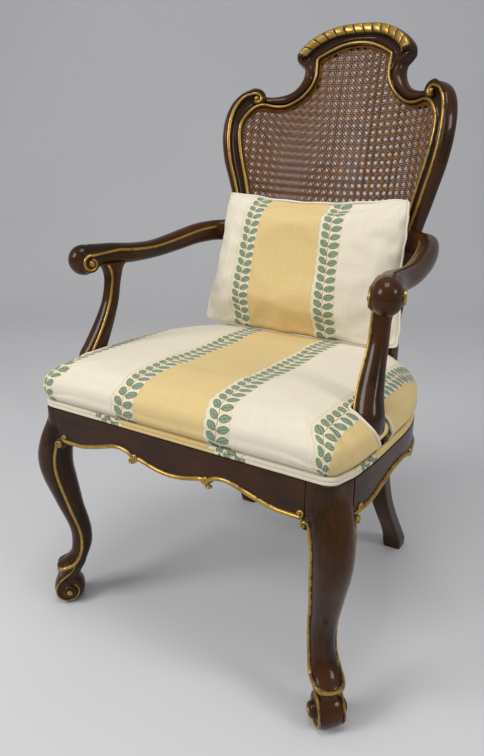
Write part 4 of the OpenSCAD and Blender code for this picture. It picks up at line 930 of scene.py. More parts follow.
def weave(name, depth, sample, shift):
    """One caned panel at a depth behind the front face of the frame, shifted sideways."""
    lines, places, faces, base = [], [], [], 0
    for k in range(FIRST_PITCH, LAST_PITCH):
        straight, slanting = (k + 0.5) * PITCH, (k + 0.5) * PITCH / math.sqrt(2)
        for pair, sign in ((-PAIR, 1), (PAIR, -1)):
            lines += strands((0, 1), straight + pair, -0.6, (0.15, 0), sample, shift)
            lines += strands((1, 0), straight + pair, 0.0, (0.6 * sign, 0), sample, shift)
        lines += strands((1, 1), slanting, 0.75, (0.3, 1), sample, shift)
        lines += strands((1, -1), slanting, 0.75, (-0.3, 1), sample, shift)
    for line, normal in lines:
        ring = np.zeros((len(line), 4, 3))
        ring[:, :, :2] = line[:, None, :2] + normal * LOZENGE[None, :, :1]
        ring[:, :, 2] = line[:, None, 2] + LOZENGE[None, :, 1] - depth
        places.append(on_back(ring).reshape(-1, 3))
        a = base + np.arange(len(line) - 1)[:, None] * 4 + np.arange(4)
        b = base + np.arange(len(line) - 1)[:, None] * 4 + (np.arange(4) + 1) % 4
        faces.append(np.stack([a, b, b + 4, a + 4], -1).reshape(-1, 4))
        end = base + 4 * len(line)
        faces.append([[base + 3, base + 2, base + 1, base], [end - 4, end - 3, end - 2, end - 1]])
        base = end
    mesh = bpy.data.meshes.new(name)
    mesh.from_pydata((np.vstack(places) * MM).tolist(), [], np.vstack(faces).tolist())
    obj = bpy.data.objects.new(name, mesh)
    bpy.context.collection.objects.link(obj)
    edit(obj)
    bpy.ops.mesh.normals_make_consistent(inside=False)
    bpy.ops.object.mode_set(mode="OBJECT")
    bpy.ops.object.shade_smooth_by_angle(angle=math.radians(70))
    return obj, len(lines)


print("cane pitch", PITCH, "mm, strands", STRAND, "mm wide")

# %% [markdown]
# A round spline of cane is pressed into the groove along the opening and hides the cut
# ends. The rear panel is shifted by about a third of a pitch against the front one, so
# that its strands show through the holes.

# %% Weave both panels
SPLINE_R, SPLINE_IN, SPLINE_LIFT = 1.9, 1.6, 0.6
away = leftward(opening, loop=True)
section = tube(SPLINE_R, 8)
for name, node, depth, sample, shift in (("front_cane_woven", "front_cane_panel", 7.2, 4.0, 0),
                                         ("rear_cane_woven", "rear_cane_panel", 21.8, 5.2, 5.5)):
    panel, count = weave(name, depth, sample, shift)
    trim_line = np.hstack([opening + away * -SPLINE_IN, np.full((len(opening), 1), -depth + SPLINE_LIFT)])
    across = np.hstack([away, np.zeros((len(away), 1))])
    ring = trim_line[:, None] + across[:, None] * section[None, :, :1]
    ring[..., 2] += section[None, :, 1]
    panel = join(name, [panel, lay("spline", on_back(ring), loop=True)])
    dress(panel, cane_finish, "cane", node)
    print(name, "woven from", count, "strands")

# %% [markdown]
# ## Carved pieces
#
# Legs, arms and arm posts are shaped with rasp and file, so their parts flow into each
# other without a seam. A carver's way in Blender is to rough out the parts, remesh them
# into one skin and rub that skin smooth.

# %% Carve by remeshing
TIP_R = 0.01


def carve(name, parts, grain=2.0, rub=5, sole=None):
    """Join rough parts, remesh them into one skin and rub it smooth."""
    obj = join(name, parts)
    bpy.context.view_layer.objects.active = obj
    remesh = obj.modifiers.new("one_skin", "REMESH")
    remesh.mode, remesh.voxel_size, remesh.use_smooth_shade = "VOXEL", grain * MM, True
    bpy.ops.object.modifier_apply(modifier=remesh.name)
    rubbed = obj.modifiers.new("rub", "SMOOTH")
    rubbed.factor, rubbed.iterations = 0.5, rub
    bpy.ops.object.modifier_apply(modifier=rubbed.name)
    if sole is not None:
        edit(obj)
        bpy.ops.mesh.bisect(plane_co=(0, 0, sole * MM), plane_no=(0, 0, 1), use_fill=True, clear_inner=True)
        bpy.ops.object.mode_set(mode="OBJECT")
    bpy.ops.object.shade_smooth_by_angle(angle=math.radians(60))
    return obj


def power(values, share):
    """Cosines or sines raised to a power with their sign kept, for squarish rounds."""
    return np.sign(values) * np.abs(values) ** share


def spun(name, outline, centre, axes):
    """An outline of [radius, along] places, turned round the third of its axes."""
    a = np.linspace(0, 2 * np.pi, 40, endpoint=False)[None, :, None]
    outline, axes = np.asarray(outline, float), np.asarray(axes, float)
    radius, along = np.maximum(outline[:, :1, None], TIP_R), outline[:, 1:, None]
    round_it = np.cos(a) * axes[0] + np.sin(a) * axes[1]
    return lay(name, np.asarray(centre, float) + radius * round_it + along * axes[2])


print("carving tools ready, a tip is", TIP_R, "mm in radius")

# %% [markdown]
# ### Arms
#
# An arm leaves the stile, dips, and ends in a scroll that is a round boss turned on its
# side and rounded like a ball. A low disc on its inner face carries the gilt volute, and
# the outer face has a small gilt-edged button. The table follows the arm from the stile
# to the scroll, in shares of the seat and of the arm's width: its place across, from
# front to back and up, its half width and its half height.

# %% Draw the arms
ARM_Z, ARM_W = 695, 44
arm_rows = smooth([
    [0.6, 1.172, 0.72, 0.38, 0.51], [0.715, 1.103, 0.66, 0.4, 0.52],
    [0.79, 1.052, 0.64, 0.409, 0.51], [0.838, 0.955, 0.545, 0.409, 0.5],
    [0.868, 0.849, 0.34, 0.398, 0.477], [0.884, 0.75, 0.173, 0.386, 0.444],
    [0.892, 0.664, 0.08, 0.386, 0.422], [0.894, 0.578, 0.07, 0.398, 0.432],
    [0.898, 0.504, 0.1, 0.42, 0.455], [0.912, 0.427, 0.15, 0.455, 0.48],
    [0.934, 0.362, 0.15, 0.477, 0.5], [0.953, 0.322, 0.12, 0.5, 0.54], [0.966, 0.3, 0.07, 0.5, 0.57]], 6)
arm_line = np.stack([arm_rows[:, 0] * SEAT_W / 2, arm_rows[:, 1] * SEAT_D - FRONT,
                     ARM_Z + arm_rows[:, 2] * ARM_W], 1)
course = heading(arm_line)
arm_side = unit(np.stack([-course[:, 1], course[:, 0], 0 * course[:, 0]], 1))


def arm_skin(turn, squareness=2.3):
    """Places on the arm's skin at one or more turns round it, in degrees."""
    a = np.radians(np.atleast_1d(turn))
    wide = power(np.cos(a), 2 / squareness)[None] * arm_rows[:, 3:4] * ARM_W
    high = power(np.sin(a), 2 / squareness)[None] * arm_rows[:, 4:5] * ARM_W
    return arm_line[:, None] + arm_side[:, None] * wide[..., None] + np.array([0, 0, 1]) * high[..., None]


print("arm drawn over", len(arm_rows), "places")

# %% Carve the arms
TURN, BALL_R, BALL_HALF = math.radians(18), 29.5, 24
scroll_at = np.array([0.968 * SEAT_W / 2, 0.297 * SEAT_D - FRONT, ARM_Z])
scroll_axis = np.array([math.cos(TURN), math.sin(TURN), 0])
scroll_front = np.array([math.sin(TURN), -math.cos(TURN), 0])
scroll_axes = [scroll_front, np.array([0, 0, 1]), scroll_axis]
rough = lay("arm_rough", arm_skin(np.arange(0, 360, 10)))
turns = np.linspace(-math.pi / 2, math.pi / 2, 19)
dome = np.stack([BALL_R * power(np.cos(turns), 0.8), BALL_HALF * np.sin(turns)], 1)
ball = spun("arm_ball", dome, scroll_at + scroll_front * 1.5, scroll_axes)
volute_at = scroll_at - scroll_front * 3 - [0, 0, 5]
disc = spun("arm_disc", [[0, -24], [17, -24], [18.5, -22.5], [19, -8], [0, -8]], volute_at, scroll_axes)
stud = spun("arm_stud", [[0, 10], [11, 10], [11, 25], [8, 27], [0, 27.5]], scroll_at, scroll_axes)
arm_right = carve("arm_r", [rough, ball, disc, stud], grain=1.8)
dress_pair(arm_right, "arm_l", arm_walnut, "show_wood", "arm")

# %% [markdown]
# ### Arm posts
#
# A post rises from the side rail, sweeps forward, and leans back under the arm. It is
# widest just above the seat and slim under the arm. The last two columns of its table
# are its half depth and how square its section is.

# %% Carve the arm posts
RAIL_Z = 440
post_rows = smooth([
    [0.94, 0.334, 0, 0.2, 0.5, 8], [0.94, 0.328, 0.087, 0.21, 0.54, 8],
    [0.943, 0.304, 0.15, 0.34, 0.61, 3], [0.934, 0.281, 0.269, 0.477, 0.62, 2.4],
    [0.915, 0.303, 0.372, 0.45, 0.56, 2.4], [0.902, 0.342, 0.51, 0.4, 0.46, 2.4],
    [0.896, 0.382, 0.664, 0.34, 0.39, 2.4], [0.893, 0.4, 0.802, 0.33, 0.37, 2.4],
    [0.896, 0.408, 0.87, 0.36, 0.42, 2.4],
    [0.899, 0.411, 0.925, 0.38, 0.56, 2.4], [0.902, 0.416, 0.968, 0.42, 0.86, 2.4]], 6)
post_line = np.stack([post_rows[:, 0] * SEAT_W / 2, post_rows[:, 1] * SEAT_D - FRONT,
                      RAIL_Z + (ARM_Z - RAIL_Z) * post_rows[:, 2]], 1)


def post_skin(turn):
    """Places on a post's skin at one or more turns round it, in degrees."""
    a = np.radians(np.atleast_1d(turn))[None]
    share = 2 / post_rows[:, 5:6]
    wide = power(np.cos(a), share) * post_rows[:, 3:4] * ARM_W
    deep = power(np.sin(a), share) * post_rows[:, 4:5] * ARM_W
    return post_line[:, None] + np.stack([wide, deep, np.zeros_like(wide)], -1)


post_right = carve("arm_post_r", [lay("post_rough", post_skin(np.arange(0, 360, 10)))], grain=1.8, rub=3)
dress_pair(post_right, "arm_post_l", upright_walnut, "show_wood", "arm_post")

# %% [markdown]
# ### Gilding of arms and posts
#
# One bead runs along the inner side of the arm, climbs over the scroll and winds into
# its eye. Another runs down the front inner corner of the post.

# %% Gild the arms
VOLUTE_STEPS, BEAD_TURN = 40, 160
outs = unit(arm_side * -0.9 + [0, 0, 0.45])[12:-12]
along_arm = arm_skin(BEAD_TURN)[12:-12, 0] + outs * 0.5
volute_a = np.radians(np.linspace(112, -270, VOLUTE_STEPS))
volute_r = np.linspace(16.5, 8, VOLUTE_STEPS)
on_scroll = (volute_at - scroll_axis * 24 + scroll_front * (volute_r * np.cos(volute_a))[:, None]
             + np.array([0, 0, 1]) * (volute_r * np.sin(volute_a))[:, None])
near_end = np.linspace(0, 1, len(outs))[:, None] ** 12 * 3
line = np.vstack([(along_arm + outs * near_end)[:-4:3], on_scroll[::2]])
way = np.vstack([outs[:-4:3], np.tile(-scroll_axis, (len(on_scroll[::2]), 1))])
line, way = smooth(line, 3), unit(smooth(way, 3))


def gilt_strip(name, line, way, width=5.2, height=3.2, sink=1.4, swell=1):
    """A gilt half round along a line, with painted shade along its foot."""
    section = half_round(width, height, sink)
    return lay(name, strip(line, way, section, swell=swell), shade_and_hold=bead_foot_shade(section, height, len(line)))


RIM = [[9.6, 26.6], [10.4, 27.4], [11.4, 26.8], [11.6, 24], [9.6, 24], [9.6, 26.6]]
bead = gilt_strip("arm_bead", line, way)
eye = button("arm_eye", volute_at - scroll_axis * 23.6, 6.5, 6, face_axes(scroll_front, -scroll_axis))
rim = spun("stud_rim", RIM, scroll_at, scroll_axes)
arm_gilt = join("arm_gilt_right", [bead, eye, rim])
dress_pair(arm_gilt, "arm_gilt_left", gilding, "gilding", "arm_bead")

# %% Gild the arm posts
FRONT_INNER = 225
post_out = np.array([math.cos(math.radians(FRONT_INNER)), math.sin(math.radians(FRONT_INNER)), 0])
down_post = post_skin(FRONT_INNER)[12:-2:2, 0]
post_gilt = gilt_strip("post_gilt_right", down_post, np.tile(post_out, (len(down_post), 1)), 5)
dress_pair(post_gilt, "post_gilt_left", gilding, "gilding", "post_bead")

# %% [markdown]
# ## Front legs
#
# A cabriole leg: a square block under the seat's corner, a full knee, a slim ankle, a
# cuff, and a foot scrolled forward like a rolled leaf. The leg is drawn in the upright
# plane on the seat's diagonal, u outward, s across it. Block, leg and foot are roughed
# out apart and carved into one.
#
# Each row of its table gives a height (share of the rail's), how far the skin reaches
# outward and inward and to each side (shares of the knee's width), and how square the
# section is. APRON_H is the depth of the rails, TACK_H and TACK_STEP the rebate along
# their top that the cloth is tacked in.

# %% Draw the leg
KNEE_W, FOOT_R, FOOT_LEN, SPLAY = 66, 31, 43, 9
APRON_H, TACK_H, TACK_STEP, RAIL_T = 64, 22, 14, 28
CORNER_X, BLOCK_W, CORNER_R = 0.962 * SEAT_W / 2, 50, 26
BLOCK_IN, SKIN_GAP = CORNER_X - BLOCK_W, 0.3
UPRIGHT = np.array([0, 0, 1])
out_way, cross_way = np.array([1, -1, 0]) / math.sqrt(2), np.array([1, 1, 0]) / math.sqrt(2)
leg_rows = smooth([
    [0.984, 0.08, -0.67, 0.50, 1.3], [0.935, 0.14, -0.67, 0.515, 1.35],
    [0.89, 0.27, -0.64, 0.53, 1.5], [0.85, 0.38, -0.59, 0.53, 1.7],
    [0.803, 0.47, -0.53, 0.515, 1.9], [0.763, 0.515, -0.49, 0.5, 2],
    [0.707, 0.5, -0.485, 0.49, 2.1], [0.64, 0.395, -0.545, 0.47, 2.1],
    [0.57, 0.23, -0.61, 0.43, 2.1], [0.497, 0.06, -0.68, 0.385, 2.1],
    [0.425, -0.12, -0.785, 0.355, 2.1], [0.362, -0.225, -0.85, 0.335, 2.1],
    [0.3, -0.225, -0.835, 0.325, 2.1], [0.255, -0.165, -0.745, 0.34, 2.1],
    [0.219, 0.03, -0.65, 0.365, 2.1], [0.197, 0.23, -0.605, 0.38, 2.2],
    [0.186, 0.3, -0.575, 0.38, 2.2], [0.172, 0.18, -0.515, 0.35, 2.2],
    [0.139, 0.21, -0.41, 0.3, 2.2], [0.107, 0.24, -0.38, 0.29, 2.2]], 5)


def on_leg(u, s, z):
    """A place on a right front leg."""
    u, s, z = (np.asarray(value, float)[..., None] for value in (u, s, z))
    lean = SPLAY * (1 - z / RAIL_Z)
    return np.array([CORNER_X - 10, 15 - FRONT, 0]) + out_way * u + cross_way * (s + lean) + UPRIGHT * z


def leg_skin(rows, turn):
    """Places on the leg's skin, from rows of its table and turns round it in degrees."""
    rows, a = np.atleast_2d(rows), np.radians(turn)
    share = 2 / rows[:, 4:5]
    far, near = rows[:, 1:2] * KNEE_W, rows[:, 2:3] * KNEE_W
    u = (far + near) / 2 + (far - near) / 2 * power(np.cos(a), share)
    s = rows[:, 3:4] * KNEE_W * power(np.sin(a), share)
    return on_leg(u, s, np.broadcast_to(rows[:, :1] * RAIL_Z, u.shape))


def leg_row(height):
    """The leg's table at any height."""
    rising = leg_rows[np.argsort(leg_rows[:, 0])]
    return np.array([height] + [np.interp(height, rising[:, 0], rising[:, k]) for k in range(1, 5)])


skin_places = leg_skin(leg_rows, np.arange(0, 360, 10.0)[None])
x, y, z = np.moveaxis(skin_places, -1, 0)
high = z > RAIL_Z - APRON_H * 1.1
skin_places[..., 0] = np.where(high, np.maximum(x, BLOCK_IN + SKIN_GAP), x)
skin_places[..., 1] = np.where(high, np.minimum(y, BLOCK_W - SKIN_GAP - FRONT), y)
print("leg drawn from", skin_places[0, 0, 2], "to", skin_places[-1, 0, 2], "mm")

# %% Carve the front legs
side_edge = np.array([[s[0] * SEAT_W / 2, s[1] * SEAT_D] for s in [
    [0.984, 0.108], [0.996, 0.2], [1, 0.3], [1, 0.42], [0.998, 0.54], [0.98, 0.65],
    [0.935, 0.755], [0.86, 0.855], [0.772, 0.935], [0.675, 1], [0.61, 1.035], [0.54, 1.07]]])
a = np.linspace(0, np.pi / 2, 7)
corner_edge = np.stack([CORNER_X - CORNER_R + CORNER_R * np.sin(a), CORNER_R - CORNER_R * np.cos(a)], 1)
block = np.vstack([[BLOCK_IN, 0], corner_edge, side_edge[:1], [[BLOCK_IN, BLOCK_W]]])
block[:, 1] -= FRONT
block_corner = np.array([BLOCK_IN, BLOCK_W - FRONT])
upper = block_corner + (block - block_corner) * 0.68


def upright(name, shape, low, high):
    """A block with a flat shape, standing from a low height to a high one."""
    return lay(name, [np.hstack([shape, np.full((len(shape), 1), z)]) for z in (low, high)])


post = upright("leg_block", block, RAIL_Z - APRON_H, RAIL_Z)
top = upright("leg_top", upper, RAIL_Z - 5, RAIL_Z + TACK_H)
foot_at = on_leg(-0.045 * KNEE_W, 0, FOOT_R - 1)
foot_axes = [out_way, np.array([0, 0, 1.0]), cross_way]
barrel = [[0, FOOT_LEN / 2], [23, FOOT_LEN / 2], [27, 19.5], [29.5, 15], [FOOT_R, 6]]
knob = [[0, 33], [9, 32.5], [13, 30], [14.5, 26], [12.5, 20]]
foot, knobs = (spun(name, [[r, -along] for r, along in half] + half[::-1], foot_at, foot_axes)
               for name, half in (("foot_rough", barrel), ("foot_knobs", knob)))
ACROSS_FRONT, FORWARD, CURL_R, CURL_AT = (1, 0, 0), (0, -1, 0), 7.5, 0.845
LEG_FACES = ((-90, ACROSS_FRONT, FORWARD), (90, FORWARD, ACROSS_FRONT))
EAR = [[0, -14], [9, -14], [9, 0.5], [8, 1.5], [0, 1.5]]
ears = []
for turn, away, out in LEG_FACES:
    ear_at = leg_skin(leg_row(CURL_AT), [[turn]])[0, 0] - CURL_R * np.array(away)
    ears.append(spun("leg_ear", EAR, ear_at, (away, UPRIGHT, out)))
rough = lay("leg_rough", skin_places)
leg_right = carve("front_leg_r", [rough, post, top, foot, knobs] + ears, sole=0)
dress_pair(leg_right, "front_leg_l", upright_walnut, "show_wood", "front_leg")

# %% [markdown]
# ### Gilding of the legs
#
# A bead starts in a small curl at the apron, runs down the side of the leg, rounds the
# front of the cuff in a U and climbs the other side. On each side of the foot a gilt
# rim winds forward, down and round to the button, which has a gilt eye.

# %% Draw the lines of the leg's gilding
down = [(leg_row(h), 90) for h in np.linspace(CURL_AT, 0.225, 22)]
cuff = [(leg_row(h), t) for h, t in ((0.208, 84), (0.196, 68), (0.186, 45), (0.179, 22), (0.177, 0),
                                     (0.179, -22), (0.186, -45), (0.196, -68), (0.208, -84))]
stations = down + cuff + [(row, -90) for row, _ in down[::-1]]
line = np.array([leg_skin(row, [[t]])[0, 0] for row, t in stations])
around = np.radians([[t] for _, t in stations])
way = out_way * np.cos(around) + cross_way * np.sin(around)
way[len(down):len(down) + len(cuff)] += [0, 0, -0.5]
line, way = smooth(line + unit(way) * 0.6, 3), unit(smooth(way, 3))
swell = 1 + 0.6 * np.exp(-((np.arange(len(line)) / (len(line) - 1) - 0.5) / 0.07) ** 2)
rim_turn, rim_r, rim_out = smooth([
    [104, 60, 24], [97, 42, 22.3], [75, 31, 21.2], [48, 27.5, 21], [10, 26.5, 21], [-35, 26.5, 21],
    [-80, 25, 21], [-130, 21, 21], [-185, 18, 21], [-230, 16, 21]], 5).T
rim_a = np.radians(rim_turn)
print("leg bead drawn over", len(line), "places, rim over", len(rim_a))

# %% Gild the legs
CURL_STEPS, CURL_TURN, BUD = 22, 280, 0.42


def curl(centre, radius, start, across, out):
    """The rolled end of a bead: a short spiral with a bud in it, from an angle onward."""
    centre, across, out = (np.asarray(way, float) for way in (centre, across, out))
    a = np.radians(np.linspace(start, start + CURL_TURN, CURL_STEPS))
    r = np.linspace(1, BUD, CURL_STEPS) * radius
    line = centre + across * (r * np.cos(a))[:, None] + UPRIGHT * (r * np.sin(a))[:, None]
    bud = button("bud", centre + out * 0.4, radius * BUD, 3.6, face_axes(across, out))
    return [gilt_strip("curl", line, np.tile(out, (len(line), 1)), 4.8, 3.6), bud]


parts = [gilt_strip("leg_bead", line, way, 6, 3.6, 1.6, swell)]
for end, (_, away, out) in zip((line[-1], line[0]), LEG_FACES):
    parts += curl(end - CURL_R * np.array(away) + 1.2 * np.array(out), CURL_R, 0, away, out)
for side in (-1, 1):
    rim = (foot_at + cross_way * side * rim_out[:, None] + out_way * (rim_r * np.cos(rim_a))[:, None]
           + UPRIGHT * (rim_r * np.sin(rim_a))[:, None])
    parts.append(gilt_strip("rim", rim, np.tile(cross_way * side, (len(rim), 1)), 3.8, 2.6, 2))
    eye_axes = face_axes(out_way, cross_way * side)
    parts.append(button("eye", foot_at + cross_way * side * 31.8, 5.5, 3, eye_axes))
dress_pair(join("leg_gilt_right", parts), "leg_gilt_left", gilding, "gilding", "leg_beads")

# %% [markdown]
# ## Seat rails
#
# The front and side rails show a shaped apron. Each is a plank whose lower edge was
# sawn to a line with cusps and rounded over, and whose top is rebated for the cloth. The
# section is laid along the rail, and its foot follows the sawn line. The line is
# smoothed on each side of a cusp, never through it.
#
# Each point of the sawn line is a share along the rail, where 1 is the leg's block, and
# a share of the apron's depth. The side rail's shares run from the seat's front to its
# back.

# %% Saw the front rail
FRONT_CUSP = 6
front_line = [[0, 1.015], [0.08, 0.99], [0.16, 0.93], [0.23, 0.86], [0.262, 0.83], [0.285, 0.87],
              [0.305, 0.92], [0.33, 0.8], [0.37, 0.71], [0.44, 0.66], [0.51, 0.69], [0.58, 0.77],
              [0.65, 0.85], [0.73, 0.93], [0.81, 0.995], [0.9, 1.015], [1, 1.015]]
FRONT_CUSP_X, FRONT_CUSP_DROP = front_line[FRONT_CUSP]
front_line = np.vstack([smooth(front_line[:FRONT_CUSP + 1], 5)[:-1], smooth(front_line[FRONT_CUSP:], 5)])
front_line = np.vstack([front_line[:0:-1] * [-1, 1], front_line])


def rail_ring(low):
    """Section of a rail: places in from its face and up, round from the face's top."""
    soft = [[4 - 4 * math.cos(a), low + 4 - 4 * math.sin(a)] for a in np.linspace(0, np.pi / 2, 6)]
    face = [[0, RAIL_Z]] + [[0, z] for z in np.linspace(RAIL_Z - 8, low + 8, 4)]
    rebate = [[RAIL_T, RAIL_Z + TACK_H], [TACK_STEP, RAIL_Z + TACK_H], [TACK_STEP, RAIL_Z]]
    return np.array(face + soft + [[RAIL_T, low]] + rebate)


rings = []
for x, drop in front_line:
    section = rail_ring(RAIL_Z - drop * APRON_H)
    rings.append(np.stack([np.full(len(section), x * BLOCK_IN), section[:, 0] - FRONT, section[:, 1]], 1))
# painted shade: the rounded lower edge and the underside of each apron are darkened
apron_shade = np.tile([0.2, 0, 0, 0, 0.15] + [0.4] * 6 + [0.3, 0, 0, 0], (len(rings), 1))
dress(lay("front_apron", rings, shade_and_hold=apron_shade), moulded_walnut, "show_wood", "front_rail")

# %% Saw the side rails
SIDE_CUSP = 10
side_line = [[0.108, 1.015], [0.2, 1.0], [0.25, 0.95], [0.3, 0.87], [0.36, 0.77], [0.42, 0.7],
             [0.5, 0.68], [0.54, 0.71], [0.58, 0.8], [0.6, 0.86], [0.625, 0.93], [0.65, 0.85],
             [0.69, 0.82], [0.755, 0.86], [0.81, 0.93], [0.855, 0.97], [0.9, 1.0], [0.935, 1.01], [1, 1.015]]
SIDE_CUSP_AT = side_line[SIDE_CUSP][0]
side_line = np.vstack([smooth(side_line[:SIDE_CUSP + 1], 4)[:-1], smooth(side_line[SIDE_CUSP:], 4)])
smooth_side = smooth(side_edge, 6)
side_depth = side_line[:, 0] * SEAT_D
side_place = np.stack([np.interp(side_depth, smooth_side[:, 1], smooth_side[:, 0]), side_depth - FRONT], 1)
into = leftward(side_place)
rings = []
for place, way_in, drop in zip(side_place, into, side_line[:, 1]):
    section = rail_ring(RAIL_Z - drop * APRON_H)
    rings.append(np.hstack([place + way_in * section[:, :1], section[:, 1:]]))
side_right = lay("side_apron_r", rings, shade_and_hold=np.tile(apron_shade[0], (len(rings), 1)))
dress_pair(side_right, "side_apron_l", moulded_walnut, "show_wood", "side_rail")

# %% [markdown]
# One bead follows each sawn edge, in runs from cusp to cusp, and the runs end in small
# curls. Half of the front rail's curls are made and mirrored; the side rail's bead is
# mirrored whole.

# %% Gild the front rail
BEAD_UP, BEAD_SHORT = BEAD_W / 2 + 0.5, 6


def edge_bead(name, line, outs, cusps):
    """A gilt bead in runs between its cusps."""
    return [gilt_strip(name, line[i:j + 1], outs[i:j + 1], BEAD_W, 4.2, 0.8)
            for i, j in zip(cusps[:-1], cusps[1:])]


bead_x, cusp_x = (share * (BLOCK_IN - BEAD_SHORT) for share in (front_line[:, 0], FRONT_CUSP_X))
bead_places = np.stack([bead_x, np.full(len(front_line), -float(FRONT)),
                        RAIL_Z - front_line[:, 1] * APRON_H + BEAD_UP], 1)
cusps = [0] + [int(np.argmin(abs(bead_x - x))) for x in (-cusp_x, cusp_x)] + [len(bead_x) - 1]
runs = edge_bead("front_bead", bead_places, np.tile(FORWARD, (len(bead_x), 1)), cusps)
cusp_z, end_z = (RAIL_Z - APRON_H * drop + BEAD_UP for drop in (FRONT_CUSP_DROP, front_line[-1, 1]))
parts = (curl((cusp_x - 1, -FRONT, cusp_z + 6), 6.5, -90, ACROSS_FRONT, FORWARD)
         + curl((cusp_x + 7, -FRONT, cusp_z - 1), 7, 90, ACROSS_FRONT, FORWARD)
         + curl((BLOCK_IN - 7, -FRONT, end_z + 6.5), 6.5, -90, ACROSS_FRONT, FORWARD))
right_curls = join("front_curls", parts)
parts = runs + [right_curls, mirrored(right_curls, "front_curls_l")]
dress(join("front_bead_gilt", parts), gilding, "gilding", "front_rail_bead")

# %% Gild the side rails
side_out = np.hstack([-into, np.zeros((len(into), 1))])
bead_places = np.hstack([side_place, (RAIL_Z - side_line[:, 1] * APRON_H + BEAD_UP)[:, None]])[:-1]
cusp = int(np.argmin(abs(side_line[:, 0] - SIDE_CUSP_AT)))
parts = edge_bead("side_bead", bead_places, side_out[:-1], [0, cusp, len(bead_places) - 1])
for i, rise, start, sense in ((2, 6.5, -90, -1), (cusp - 2, 6, -90, 1), (cusp + 3, -1, 90, 1)):
    across = np.cross(UPRIGHT, side_out[i]) * sense
    parts += curl(bead_places[i] + [0, 0, rise], 6.5, start, across, side_out[i])
bead = join("side_bead_gilt_right", parts)
dress_pair(bead, "side_bead_gilt_left", gilding, "gilding", "side_rail_bead")

# %% [markdown]
# ## Linen
#
# The seat and pillow are covered in one printed linen: broad cream and butter stripes
# across the width, and a column of paired leaves on every change of stripe, in a pale
# halo with a scalloped line. The pattern is drawn by sums from a place on the cloth in
# millimetres, so it follows each piece's UV map over edges and round corners. One group
# weaves the threads, the other prints the stripes and leaves.

# %% Weave the linen
weave_group, put, out = new_group("plain_weave", {"Place": "Vector"}, {"Thread": "Float", "Slub": "Float"})
step = maths(weave_group)
axis = add(weave_group, "SeparateXYZ", {0: put["Place"]}).outputs
THREAD = 1.1
warp, weft = (step("SINE", step("MULTIPLY", axis[k], 2 * math.pi / THREAD)) for k in (0, 1))
weave_group.links.new(step("MULTIPLY_ADD", step("MULTIPLY", warp, weft), 0.5, 0.5), out["Thread"])
drawn = [add(weave_group, "Mapping", {"Vector": put["Place"], "Scale": scale}).outputs[0]
         for scale in ((0.03, 1, 1), (1, 0.03, 1))]
slub = step("MULTIPLY", step("ADD", *(noise(weave_group, place, 0.55) for place in drawn)), 0.5)
weave_group.links.new(stretch(weave_group, slub, 0.4, 0.6), out["Slub"])
print("linen weave ready, a thread every", THREAD, "mm")

# %% [markdown]
# A column of leaves is worked out from two distances: how far a place lies from the
# middle of its column, and how far along from the nearest pair. The leaves left of the
# stem rise more steeply than those right of it. A leaf's half width follows a power
# curve from its foot to its tip, and its rim and midrib are printed darker.

# %% Print the stripes and leaves
REPEAT, PAIRS_AT, LEAF, LEAF_HALF, HALO = 183.0, 18.5, 24.0, 6.6, 21.5
RISE_LEFT, RISE_RIGHT = math.radians(44), math.radians(20)
print_group, put, out = new_group(
    "stripe_and_leaf", {"Place": "Vector"},
    {"Stripe": "Float", "Halo": "Float", "Line": "Float", "Leaf": "Float", "Rim": "Float", "Stem": "Float"})
step = maths(print_group)
axis = add(print_group, "SeparateXYZ", {0: put["Place"]}).outputs
x, y = axis[0], axis[1]
whole = step("DIVIDE", x, REPEAT)
stripe = step("LESS_THAN", step("ABSOLUTE", step("WRAP", step("DIVIDE", whole, 2.0), 0.5, -0.5)), 0.25)
print_group.links.new(stripe, out["Stripe"])
across = step("MULTIPLY", step("SUBTRACT", step("FRACT", whole), 0.5), REPEAT)
off = step("ABSOLUTE", across)
right_side = step("GREATER_THAN", across, 0.0)
slope, flatness = (step("MULTIPLY_ADD", right_side, ratio(RISE_RIGHT) - ratio(RISE_LEFT), ratio(RISE_LEFT))
                   for ratio in (math.tan, math.cos))
pair = step("DIVIDE", step("SUBTRACT", y, step("MULTIPLY", off, slope)), PAIRS_AT)
nearest = step("ROUND", pair)
from_pair = step("MULTIPLY", step("SUBTRACT", pair, nearest), PAIRS_AT)
beside = step("ABSOLUTE", step("MULTIPLY", from_pair, flatness))
rise = step("MULTIPLY", step("SUBTRACT", y, step("MULTIPLY", nearest, PAIRS_AT)), slope)
reach = step("DIVIDE", step("SUBTRACT", step("MULTIPLY", step("ADD", off, rise), flatness), 1.6),
             step("MULTIPLY_ADD", right_side, 2.5, LEAF - 3.5))
from_middle = step("ABSOLUTE", step("MULTIPLY_ADD", reach, 2.0, -1.0))
round_ends = step("SUBTRACT", 1.0, step("POWER", from_middle, 2.2))
leaf_half = step("MULTIPLY", step("POWER", step("MAXIMUM", round_ends, 0.0001), 0.75), LEAF_HALF)
inside_leaf = step("MULTIPLY", step("LESS_THAN", beside, leaf_half),
                   step("MULTIPLY", step("GREATER_THAN", reach, 0.0), step("LESS_THAN", reach, 1.0)))
print_group.links.new(inside_leaf, out["Leaf"])
outline_of_leaf = step("GREATER_THAN", beside, step("SUBTRACT", leaf_half, 1.5))
rim = step("MAXIMUM", outline_of_leaf, step("LESS_THAN", beside, 0.5))
print_group.links.new(step("MULTIPLY", rim, inside_leaf), out["Rim"])
wave = step("SINE", step("MULTIPLY", y, math.pi / PAIRS_AT))
scallop = step("MULTIPLY_ADD", step("ABSOLUTE", wave), 2.6, HALO)
print_group.links.new(step("LESS_THAN", off, scallop), out["Halo"])
print_group.links.new(step("LESS_THAN", step("ABSOLUTE", step("SUBTRACT", off, scallop)), 0.4), out["Line"])
sway = step("MULTIPLY", step("SINE", step("MULTIPLY", y, 2 * math.pi / PAIRS_AT)), 0.5)
